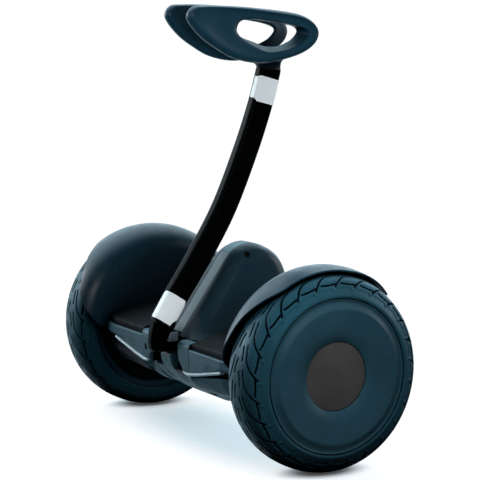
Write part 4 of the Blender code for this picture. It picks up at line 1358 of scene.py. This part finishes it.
@dataclass(frozen=True)
class KneePad:
    """A soft knee pad: a rounded rim round a dished face, with a handle hole.

    Attributes:
        side: The side of the machine that it is on.
        edge: Its outline, as (y, z).
        hole: The handle hole on its outer face.
        far_hole: The handle hole on its inner face.
        across: Its section, as (share of the way from edge to hole, outer face, inner face).
        rim: The share of the way at which the rounded rim ends.
        rim_width: How far the way is where the rim is drawn as the section has it.
        out: Its distance from the machine's middle where its splay starts.
        hinge: Where that is, by y.
        splay: How far the pads part for each millimetre towards the rear.
    """

    side: Side
    edge: Outline = ((-86.5, 578.0), (-80.0, 592.5), (-62.0, 595.5), (-8.0, 593.7), (55.0, 587.5),
                     (90.0, 580.0), (109.0, 565.0), (110.0, 549.0), (96.0, 534.5), (70.0, 524.0),
                     (27.0, 516.5), (-14.0, 523.0), (-44.0, 538.0), (-68.0, 555.0))
    hole: Outline = ((-13.4, 563.0), (-7.0, 574.0), (12.0, 576.0), (39.0, 573.2), (68.0, 568.4),
                     (88.0, 562.5), (94.5, 556.5), (89.0, 549.0), (78.0, 541.4), (56.0, 534.6),
                     (32.0, 533.3), (12.0, 541.0), (1.0, 547.0), (-9.0, 554.0))
    far_hole: Outline = ((-12.0, 563.0), (-6.0, 573.6), (12.0, 575.4), (37.5, 572.8), (62.0, 569.2),
                         (79.0, 564.8), (84.0, 559.0), (79.5, 552.0), (71.0, 545.6), (54.5, 539.6),
                         (35.0, 540.4), (16.0, 547.2), (3.0, 551.4), (-8.0, 556.8))
    across: Outline = ((0.0, 0.0, 0.0), (0.012, 3.8, -3.0), (0.05, 8.4, -7.4), (0.11, 11.2, -9.4),
                       (0.18, 12.0, -10.0), (0.3, 10.4, -10.0), (0.5, 8.6, -10.2), (0.72, 8.4, -10.8),
                       (0.86, 8.8, -11.4), (0.95, 8.0, -10.8), (0.99, 5.6, -8.6))
    rim: float = 0.18
    rim_width: float = 60.0
    out: float = 35.0
    hinge: float = 12.0
    splay: float = 0.05

    def limited(self, share: float, width: float) -> float:
        """Keeps the rounded edge about as wide all round, where the pad is broad or narrow.

        Args:
            share: A share of the way from the edge to the hole.
            width: How far that way is.

        Returns:
            The share to use.
        """
        if share > self.rim:
            return share
        return min(0.3, share * self.rim_width / max(width, self.rim_width / 2))

    def place(self, face: float, point: Vector) -> Point:
        """The point of the pad at a height of its face and a point of its outline."""
        out = self.out + (point.x - self.hinge) * self.splay + face
        return (self.side.value * out, point.x, point.y)

    def build(self) -> list[bpy.types.Object]:
        """Builds the pad.

        Returns:
            The pad alone.
        """
        outlines = (self.edge, self.hole, self.far_hole)
        edge, hole, far = (spline(line, 8, closed=True) for line in outlines)
        rings = []
        for start, end, far_end in zip(edge, hole, far):
            width = (end - start).length
            ring = []
            for share, face, _ in self.across:
                ring.append((face, start.lerp(end, self.limited(share, width))))
            ring.append((-2.0, end.lerp(far_end, 0.6)))
            for share, _, face in self.across[:0:-1]:
                ring.append((face, start.lerp(far_end, self.limited(share, width))))
            rings.append([self.place(face, point) for face, point in ring])
        word = self.side.word
        piece = Piece(f"knee_pad_soft_{word}").loft(rings, loop=True)
        made = piece.finish(Look.PAD_FOAM, "bar", [f"knee_pad_{word}"], levels=1, angle=80.0)
        return [made]


@dataclass(frozen=True)
class FootMat:
    """A rubber foot mat, wrapped over the deck's front and rear edges.

    Attributes:
        side: The side of the machine that it is on.
        top: Its upper line from the front edge to the middle, as (y, z).
        under: Its lower line from the front edge to the middle, as (y, z).
        ends: Its inner and outer ends.
        rounding: How far each end's edge is rounded down, and over what width.
        foot: The height of its lower edge.
        taper: How far its front and rear draw in towards its outer end, by x.
    """

    side: Side
    top: Outline = ((-98.3, 139.9), (-98.6, 145.0), (-96.5, 148.8), (-86.0, 152.4), (-70.0, 157.2),
                    (-50.0, 160.6), (-25.0, 162.8), (0.0, 163.5))
    under: Outline = ((-97.0, 139.9), (-96.4, 143.6), (-86.0, 147.0), (-70.0, 151.9), (-50.0, 155.3),
                      (-25.0, 157.5), (0.0, 158.3))
    ends: tuple[float, float] = (69.0, 184.8)
    rounding: Outline = ((1.8, 2.6), (2.0, 3.8))
    foot: float = 139.9
    taper: Outline = ((158, 1.0), (172, 0.97), (186, 0.93))

    def build(self) -> list[bpy.types.Object]:
        """Builds the mat.

        Returns:
            The mat alone.
        """
        top = [tuple(p) for p in spline(self.top, 5)]
        under = [tuple(p) for p in spline(self.under, 3)]
        top += [(-y, z) for y, z in top[-2::-1]]
        under += [(-y, z) for y, z in under[-2::-1]]
        start, end = self.ends
        stations = [start, start + 0.3, start + 1.2, start + 3.0]
        stations += [mix(start + 4.0, 178.0, i / 24) for i in range(25)]
        stations += [end - 4.3, end - 2.0, end - 0.6, end]
        rings = []
        for x in stations:
            drop = 0.0
            for (down, width), inwards in zip(self.rounding, (x - start, end - x)):
                drop += down * max(0.0, 1 - inwards / width) ** 2
            k = along(self.taper, x)
            outer = [(y * k, max(z - drop, self.foot)) for y, z in top]
            inner = [(y * k, z) for y, z in under[::-1]]
            rings.append([(self.side.value * x, y, z) for y, z in outer + inner])
        word = self.side.word
        piece = Piece(f"mat_{word}").loft(rings)
        return [piece.finish(Look.MAT_RUBBER, "chassis", [f"foot_mat_{word}"], angle=45.0)]


@dataclass(frozen=True)
class Housing:
    """The middle front casting: two cheeks round the bar's opening, outward grooves and a keel.

    Attributes:
        cheek: A cheek's line from top to bottom, as (y, z).
        keel: The keel's line.
        recess: The line of the sunk floor between keel and cheeks.
        groove: The groove's lower edge on a cheek, as (x, z).
        depth: How far a cheek is let in below its groove.
        step: Over what height it goes in.
        fade: The heights between which it comes out again towards the bottom.
        skin: Thickness.
        cheek_at: The cheek's sections, by x.
        recess_at: The recess's sections, by x.
        keel_at: The keel's sections, by x.
        groove_shade_at: The sections of the dark sheet of painted shade in each groove, by x.
        liner: The section of the dark wall of painted shade inside the opening, as (y, z).
        shade_wall_at: The two faces of that wall, by x.
        count: How many points each line is given.
    """

    cheek: Outline = ((-87.0, 147.4), (-97.0, 147.0), (-101.4, 145.4), (-103.0, 139.0),
                      (-102.8, 128.0), (-101.6, 116.0), (-99.4, 104.0), (-94.4, 95.0),
                      (-88.0, 87.5), (-72.0, 77.5), (-57.6, 71.8))
    keel: Outline = ((-94.0, 125.4), (-99.4, 125.2), (-101.4, 122.6), (-101.2, 117.0), (-99.6, 111.0),
                     (-95.0, 103.0), (-86.0, 92.5), (-71.0, 79.0), (-57.6, 71.8))
    recess: Outline = ((-82.0, 104.6), (-89.0, 104.9), (-92.8, 104.2), (-93.4, 101.6), (-90.4, 96.4),
                       (-82.6, 88.2), (-70.0, 79.2), (-57.6, 74.0))
    groove: Outline = ((37.0, 128.0), (38.4, 122.0), (41.3, 116.7), (45.4, 111.4), (50.4, 106.9),
                       (57.0, 100.0), (66.0, 94.0))
    depth: float = 5.0
    step: float = 4.0
    fade: tuple[float, float] = (70.0, 92.0)
    skin: float = 2.2
    cheek_at: Sequence[float] = (66.0, 63.0, 60.0, 57.0, 54.0, 51.0, 48.0, 45.0, 43.0, 41.0, 39.4,
                                 38.2, 37.4)
    recess_at: Sequence[float] = (36.8, 30.0, 24.0, 18.0, 14.6)
    keel_at: Sequence[float] = (13.4, 12.6, 8.0, 0.0)
    groove_shade_at: Sequence[float] = (36.4, 30.0, 22.0, 15.0)
    liner: Outline = ((-101.6, 107.0), (-101.6, 144.0), (-80.0, 146.0), (-80.0, 107.0))
    shade_wall_at: Sequence[float] = (36.5, 35.6)
    count: int = 36

    def even(self, line: Outline) -> list[tuple[float, float]]:
        """Spaces a line's points evenly.

        Args:
            line: What the line goes through.

        Returns:
            As many points as every line of the housing has.
        """
        points = spline(line, 8)
        run = [0.0]
        for a, b in zip(points, points[1:]):
            run.append(run[-1] + (b - a).length)
        places = [run[-1] * i / (self.count - 1) for i in range(self.count)]
        y, z = (np.interp(places, run, [p[k] for p in points]) for k in (0, 1))
        return list(zip(y.tolist(), z.tolist()))

    def cheek_line(self, x: float) -> list[tuple[float, float]]:
        """Draws a cheek: full at the top, let in below the groove's edge.

        Args:
            x: Where the section is.

        Returns:
            The section's points as (y, z).
        """
        edge = along(self.groove, x)
        low, high = self.fade
        out = []
        for y, z in self.even(self.cheek):
            share = min(1.0, max(0.0, (edge - z) / self.step))
            fade = min(1.0, max(0.0, (z - low) / (high - low)))
            out.append((y + self.depth * share ** 2 * (3 - 2 * share) * fade, z))
        return out

    def shell(self) -> bpy.types.Object:
        """Builds the casting, from one end over the keel to the other.

        Returns:
            The casting.
        """
        half = [(x, self.cheek_line(x)) for x in self.cheek_at]
        half += [(x, self.even(self.recess)) for x in self.recess_at]
        half += [(x, self.even(self.keel)) for x in self.keel_at]
        rings = []
        for x, line in [(-x, line) for x, line in half[:-1]] + half[::-1]:
            rings.append([(x, y, z) for y, z in line + offset(line, self.skin)[::-1]])
        piece = Piece("front_shell").loft(rings)
        return piece.finish(Look.DECK_ALLOY, "chassis", ["front_housing"], bevel=0.7, angle=42.0)

    def build(self) -> list[bpy.types.Object]:
        """Builds the housing, with dark sheets of painted shade in its grooves and dark walls of
        painted shade inside its opening.

        Returns:
            The casting, and a sheet of painted shade in the groove and a wall of painted shade on each
            side.
        """
        made = [self.shell()]
        for side in Side:
            # Painted shade: a dark sheet over each groove's floor, covering only the groove's upper
            # part on the right side.
            groove_shade = []
            for x in self.groove_shade_at:
                line = self.even(self.recess)
                front = [(y - 0.3, z) for y, z in line if side is Side.LEFT or z > 103.0]
                back = [(y + 1.0, z) for y, z in front[::-1]]
                groove_shade.append([(side.value * x, y, z) for y, z in front + back])
            piece = Piece(f"groove_lining_{side.word}").loft(groove_shade)
            made.append(piece.finish(Look.NECK_ABS, "chassis", angle=40.0))
            # Painted shade: a black wall inside the opening, beside each cheek.
            wall = [[(side.value * x, y, z) for y, z in self.liner] for x in self.shade_wall_at]
            piece = Piece(f"front_liner_{side.word}").loft(wall)
            made.append(piece.finish(Look.HULL_PAINT, "chassis", bevel=0.3, angle=40.0))
        return made


@dataclass(frozen=True)
class Tab:
    """The release tab beside the bar's foot, with a lip for the finger.

    Attributes:
        outline: Its outline seen from the front, as (x, z).
        layers: Its layers from front to rear, as (y, share of the outline's size).
    """

    outline: Outline = ((25.4, 145.6), (29.0, 149.4), (33.0, 155.4), (35.6, 158.4), (38.6, 159.4),
                        (40.0, 157.6), (39.4, 152.0), (38.4, 147.4), (33.0, 145.4), (28.0, 144.9))
    layers: Outline = ((-113.4, 0.78), (-113.0, 0.92), (-112.0, 1.0), (-109.0, 1.0), (-108.7, 0.95),
                       (-107.9, 0.95), (-107.6, 1.0), (-103.7, 1.0))

    def build(self) -> list[bpy.types.Object]:
        """Builds the tab.

        Returns:
            The tab alone.
        """
        line = spline(self.outline, 4, closed=True)
        middle = sum(line, Vector((0.0, 0.0))) / len(line)
        rings = []
        for y, size in self.layers:
            rings.append([(p.x, y, p.y) for p in (middle.lerp(q, size) for q in line)])
        piece = Piece("release_lever").loft(rings)
        return [piece.finish(Look.LEVER_ACETAL, "tab", ["release_tab"], bevel=0.3)]


@dataclass(frozen=True)
class Trim:
    """The light strips in the deck's lower edge, and the oval hole in the middle housing, drawn as a
    black dish of painted shade.

    Attributes:
        height: The strips' middle line, as (x, z).
        stations: The strips' sections, by x.
        face: How far a strip's middle lies from the wheel axis, to the front or the rear.
        half: Half a strip's depth, and half its height at its inner end and beyond its taper.
        taper: How far the taper at its inner end runs.
        hole: The oval hole's (x, z).
        hole_half: Half the hole's width and height.
        hole_layers: Its rim and its dished floor, as (y, share of its size).
    """

    height: Outline = ((49.0, 108.4), (52.0, 106.0), (55.5, 104.9), (63.0, 105.0), (72.0, 106.1),
                       (80.0, 107.2), (88.0, 108.8), (151.0, 122.0))
    stations: Sequence[float] = (50.0, 50.6, 51.6, 53.0, 55.0, 57.5, 60.0, 63.0, 66.0, 72.0, 90.0,
                                 110.0, 130.0, 146.0, 149.6, 151.0)
    face: float = 98.35
    half: Point = (3.8, 1.0, 2.5)
    taper: float = 13.0
    hole: tuple[float, float] = (-56.0, 124.0)
    hole_half: tuple[float, float] = (2.1, 5.0)
    hole_layers: Outline = ((-99.5, 1.0), (-102.9, 1.0), (-103.3, 0.82), (-103.0, 0.5), (-102.6, 0.1))

    def strip(self, name: str, node: str, side: Side, to_rear: int, look: Look) -> bpy.types.Object:
        """Builds one lens, tapered towards its inner end.

        Args:
            name: Its name.
            node: The frame's node that it stands for.
            side: The side of the machine that it is on.
            to_rear: 1 at the rear, or -1 at the front.
            look: Its finish.

        Returns:
            The lens.
        """
        depth, low, high = self.half
        inner = self.stations[0]
        rings = []
        for x in self.stations:
            z = smooth_along(self.height, x)
            half = mix(low, high, min(1.0, ((x - inner) / self.taper) ** 0.6)) if x > inner else 0.7
            half *= 1.0 if x < 149.0 else 0.8
            ring = superellipse(depth, half, 3.0, 20)
            rings.append([(side.value * x, to_rear * (self.face - a), z + b) for a, b in ring])
        return Piece(name).loft(rings).finish(look, "chassis", [node])

    def oval(self) -> bpy.types.Object:
        """Builds the oval hole in the far cheek of the housing, as a shallow black dish of painted
        shade.

        Returns:
            The black dish that stands for the hole.
        """
        x, z = self.hole
        rings = []
        for y, size in self.hole_layers:
            ring = superellipse(*self.hole_half, 2, 24)
            rings.append([(x + a * size, y, z + b * size) for a, b in ring])
        # Painted shade: black rubber stands for the dark inside of the hole.
        return Piece("keyhole_right").loft(rings).finish(Look.SOFT_RUBBER, "chassis")

    def build(self) -> list[bpy.types.Object]:
        """Builds the trim.

        Returns:
            The front and rear lenses of both sides, and the oval hole.
        """
        made = []
        for side in Side:
            for end, node, to_rear, look in (
                ("front", "light_strip", -1, Look.LENS_OPAL), ("rear", "tail_light", 1, Look.LENS_RED),
            ):
                name = f"{end}_lens_{side.word}"
                made.append(self.strip(name, f"{node}_{side.word}", side, to_rear, look))
        return [*made, self.oval()]


KEPT = {
    Look.DECK_ALLOY: ("deck_cover_left", "deck_cover_right", "rear_housing"),
    Look.UNDER_PAINT: ("bottom_cover",),
    Look.HULL_PAINT: (
        "rim_left", "rim_right", "motor_shield_left", "motor_shield_right", "pivot_housing",
    ),
    Look.BAR_POWDER_COAT: ("steering_socket",),
    Look.SHELL_ABS: ("charge_port",),
    Look.SOFT_RUBBER: ("charge_port_cap", "power_button", "foot_sensor_left", "foot_sensor_right"),
    Look.CAST_ALUMINIUM: ("chassis_frame", "axle_clamp_left", "axle_clamp_right", "motor_driver"),
    Look.GROUND_STEEL: (
        "axle_left", "axle_right", "centring_spring", "pivot_bush", "inner_bearing_left",
        "inner_bearing_right", "outer_bearing_left", "outer_bearing_right", "stator_core_left",
        "stator_core_right", "magnet_ring_left", "magnet_ring_right",
    ),
    Look.ENAMELLED_COPPER: ("stator_winding_left", "stator_winding_right"),
    Look.SOLDER_MASK: ("control_board", "angle_sensor"),
    Look.CELL_WRAP: ("battery_pack",),
}


def dress(nodes: dict[str, bpy.types.Object]) -> None:
    """Gives the frame's own nodes their finished materials and softened edges.

    Args:
        nodes: The frame's nodes by name.
    """
    for look, names in KEPT.items():
        for name in names:
            nodes[name].data.materials.clear()
            nodes[name].data.materials.append(PAINTS[look])
            soften(nodes[name], 0.5)
            LOG.info("dressed %s in %s", name, look.name.lower())


@dataclass(frozen=True)
class Lamp:
    """A soft area light.

    Attributes:
        name: Its name.
        place: Where it stands, in metres.
        size: Its width in metres.
        power: Its power in watts.
        target: What it points at, in metres.
        mirrored: Whether it shows in reflections.
        tint: Its sRGB hex colour.
    """

    name: str
    place: Point
    size: float
    power: float
    target: Point
    mirrored: bool = True
    tint: str = "f4fafd"

    def build(self) -> None:
        """Builds the lamp."""
        data = bpy.data.lights.new(self.name, "AREA")
        data.shape = "RECTANGLE"
        data.size, data.size_y = self.size, self.size * 0.7
        data.energy = self.power
        data.color = colour(self.tint)[:3]
        made = bpy.data.objects.new(self.name, data)
        bpy.context.scene.collection.objects.link(made)
        made.location = self.place
        made.visible_camera = False
        made.visible_glossy = self.mirrored
        towards = Vector(self.target) - Vector(self.place)
        made.rotation_euler = towards.to_track_quat("-Z", "Y").to_euler()


@dataclass(frozen=True)
class Studio:
    """The camera, the floor and the lights.

    Attributes:
        target: What the camera looks at, in millimetres.
        azimuth: The camera's direction round the machine in degrees, from the front.
        elevation: Its height in degrees.
        roll: Its tilt in degrees.
        distance: Its distance in metres.
        lens: Its focal length in millimetres.
        contact: How fast a tyre's contact shadow fades across and along, in shares for each metre.
        contact_span: The shares between which it goes from full to none.
        floor_reach: Where the floor starts and ends to fade out, in metres.
        floor_cover: How much of the white background the floor covers, in the middle and in a
            contact shadow.
        floor_half: Half the floor's width in metres.
        floor_shape: How fast the floor fades out along each axis.
        floor_glow: Strength of the blue glow that the floor gives off: painted light that lifts the
            shadows on it.
        floor_patch: Size of the floor's patches in millimetres.
        sky: The brightest direction of what the machine mirrors.
        sky_strength: Strength of the light from all round.
        white_strength: Strength of the white background that the camera sees.
        lamps: The lights.
    """

    target: Point = (3.83, 12.69, 272.29)
    azimuth: float = 59.79
    elevation: float = 7.88
    roll: float = 0.36
    distance: float = 2.9075
    lens: float = 158.09
    contact: Point = (17.0, 11.0, 0.0)
    contact_span: tuple[float, float] = (0.3, 1.0)
    floor_reach: tuple[float, float] = (0.1, 0.46)
    floor_cover: tuple[float, float] = (0.66, 0.95)
    floor_half: float = 6.0
    floor_shape: Point = (1.0, 3.0, 1.0)
    floor_glow: float = 0.5
    floor_patch: float = 500.0
    sky: Point = (-0.83, 0.3, 0.47)
    sky_strength: float = 2.0
    white_strength: float = 1.05
    lamps: Sequence[Lamp] = (
        Lamp("left", (-2.4, -1.8, 1.1), 1.4, 26.0, (0.0, 0.0, 0.2)),
        Lamp("top", (-1.3, 0.5, 2.1), 1.8, 26.0, (0.0, 0.0, 0.1), mirrored=False),
        Lamp("side", (0.56, -0.1, 0.43), 0.25, 1.5, (0.27, -0.03, 0.19), mirrored=False),
        Lamp("back right", (0.9, 2.4, 0.9), 1.2, 14.0, (0.1, 0.0, 0.25)),
        Lamp("front right", (1.2, -2.3, 1.3), 1.0, 8.0, (0.0, 0.0, 0.2)),
    )

    def camera(self) -> None:
        """Sets the camera at the photograph's view."""
        a, e = math.radians(self.azimuth), math.radians(self.elevation)
        back = Vector((math.sin(a) * math.cos(e), -math.cos(a) * math.cos(e), math.sin(e)))
        data = bpy.data.cameras.new("camera")
        data.lens, data.sensor_width = self.lens, 36.0
        data.clip_end = 50.0
        made = bpy.data.objects.new("camera", data)
        bpy.context.scene.collection.objects.link(made)
        tilt = Matrix.Rotation(math.radians(self.roll), 3, "Z")
        turn = (-back).to_track_quat("-Z", "Y").to_matrix() @ tilt
        place = Vector(self.target) * MM + back * self.distance
        made.matrix_world = Matrix.Translation(place) @ turn.to_4x4()
        bpy.context.scene.camera = made

    def near_tyres(self, graph: Graph, place: Socket) -> Socket:
        """How far a place on the floor is from where the tyres touch it.

        Args:
            graph: The floor's graph.
            place: The socket with the floor's coordinates.

        Returns:
            The socket that gives 0 under a tyre and 1 away from both.
        """
        apart = graph.node("VectorMath", {"operation": "ABSOLUTE"}, {0: place})
        span = {0: apart.outputs["Vector"], 1: (WHEEL_X * MM, 0.0, 0.0)}
        apart = graph.node("VectorMath", {"operation": "SUBTRACT"}, span)
        span = {0: apart.outputs["Vector"], 1: self.contact}
        apart = graph.node("VectorMath", {"operation": "MULTIPLY"}, span)
        near = graph.node("VectorMath", {"operation": "LENGTH"}, {0: apart.outputs["Vector"]})
        start, end = self.contact_span
        span = {"Value": near.outputs["Value"], "From Min": start, "From Max": end}
        return graph.node("MapRange", {"interpolation_type": "SMOOTHSTEP"}, span).outputs["Result"]

    def cover(self, graph: Graph, place: Socket, near: Socket) -> Socket:
        """How much of the white background the floor covers.

        Args:
            graph: The floor's graph.
            place: The socket with the floor's coordinates.
            near: The socket that tells how far a tyre's contact is.

        Returns:
            The socket that gives the share.
        """
        middle, dark = self.floor_cover
        start, end = self.floor_reach
        reach = graph.node("VectorMath", {"operation": "MULTIPLY"}, {0: place, 1: self.floor_shape})
        reach = graph.node("VectorMath", {"operation": "LENGTH"}, {0: reach.outputs["Vector"]})
        span = {"Value": reach.outputs["Value"], "From Min": start, "From Max": end, "To Min": middle,
                "To Max": 0.0}
        fade = graph.node("MapRange", {"interpolation_type": "SMOOTHSTEP"}, span).outputs["Result"]
        contact = graph.node("MapRange", {}, {"Value": near, "To Min": dark, "To Max": 0.0})
        both = {0: fade, 1: contact.outputs["Result"]}
        return graph.node("Math", {"operation": "MAXIMUM"}, both).outputs["Value"]

    def floor(self) -> None:
        """Builds a pale floor that fades into the white background."""
        material = bpy.data.materials.new("studio_floor")
        graph = Graph(material)
        place = graph.node("TexCoord").outputs["Object"]
        patches = {"Vector": place, "Scale": 1 / (self.floor_patch * MM), "Detail": 3.0}
        cloud = graph.node("TexNoise", {}, patches).outputs["Fac"]
        stops = ((0.0, colour("eef4f7")), (1.0, colour("f8fbfc")))
        pale = graph.node("ValToRGB", {}, {"Fac": cloud}, stops).outputs["Color"]
        near = self.near_tyres(graph, place)
        # Painted contact shadow: the floor's colour darkens under each tyre.
        mixed = {"Fac": near, "Color1": colour("3a4a54"), "Color2": pale}
        # Painted light: the floor glows blue away from the tyres, and not in the contact shadows.
        glow = graph.node("Math", {"operation": "MULTIPLY"}, {0: near, 1: self.floor_glow})
        for socket, value in (
            ("Base Color", graph.node("MixRGB", {}, mixed).outputs["Color"]), ("Roughness", 0.6),
            ("Emission Color", colour("9ccadf")), ("Emission Strength", glow.outputs[0]),
            ("Alpha", self.cover(graph, place, near)),
        ):
            graph.feed(graph.shader.inputs[socket], value)
        form = bmesh.new()
        bmesh.ops.create_grid(form, x_segments=8, y_segments=8, size=self.floor_half)
        mesh = bpy.data.meshes.new("floor")
        form.to_mesh(mesh)
        form.free()
        mesh.materials.append(material)
        made = bpy.data.objects.new("floor", mesh)
        bpy.context.scene.collection.objects.link(made)

    def world(self) -> None:
        """Builds a white background, and a softer sky that lights the object."""
        world = bpy.data.worlds.new("world")
        bpy.context.scene.world = world
        graph = Graph(world)
        graph.tree.nodes.clear()
        place = graph.node("TexCoord").outputs["Generated"]
        towards = graph.node("VectorMath", {"operation": "DOT_PRODUCT"}, {0: place, 1: self.sky})
        stops = ((0.0, colour("0a1216")), (0.35, colour("24353f")), (0.75, colour("cbe6f2")))
        sky = graph.node("ValToRGB", {}, {"Fac": towards.outputs["Value"]}, stops).outputs["Color"]
        soft = graph.node("Background", {}, {"Color": sky, "Strength": self.sky_strength})
        white = {"Color": (1.0, 1.0, 1.0, 1.0), "Strength": self.white_strength}
        shown = graph.node("Background", {}, white)
        seen = graph.node("LightPath").outputs["Is Camera Ray"]
        blend = graph.node("MixShader", {}, {0: seen, 1: soft.outputs[0], 2: shown.outputs[0]})
        graph.node("OutputWorld", {}, {"Surface": blend.outputs[0]})

    def build(self) -> None:
        """Builds the studio."""
        self.camera()
        self.floor()
        self.world()
        for lamp in self.lamps:
            lamp.build()
        scene = bpy.context.scene
        scene.view_settings.view_transform = "Standard"
        scene.view_settings.look = "None"


def main() -> None:
    """Builds the scene."""
    logging.basicConfig(level=logging.INFO)
    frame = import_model()
    Studio().build()
    dress(frame["nodes"])
    paired = [kind(side) for side in Side for kind in (Wheel, Fender, KneePad, FootMat)]
    for part in (*paired, Console(), Bar(), Housing(), Tab(), Trim()):
        for piece in part.build():
            LOG.info("built %s", piece.name)


if __name__ == "__main__":
    main()
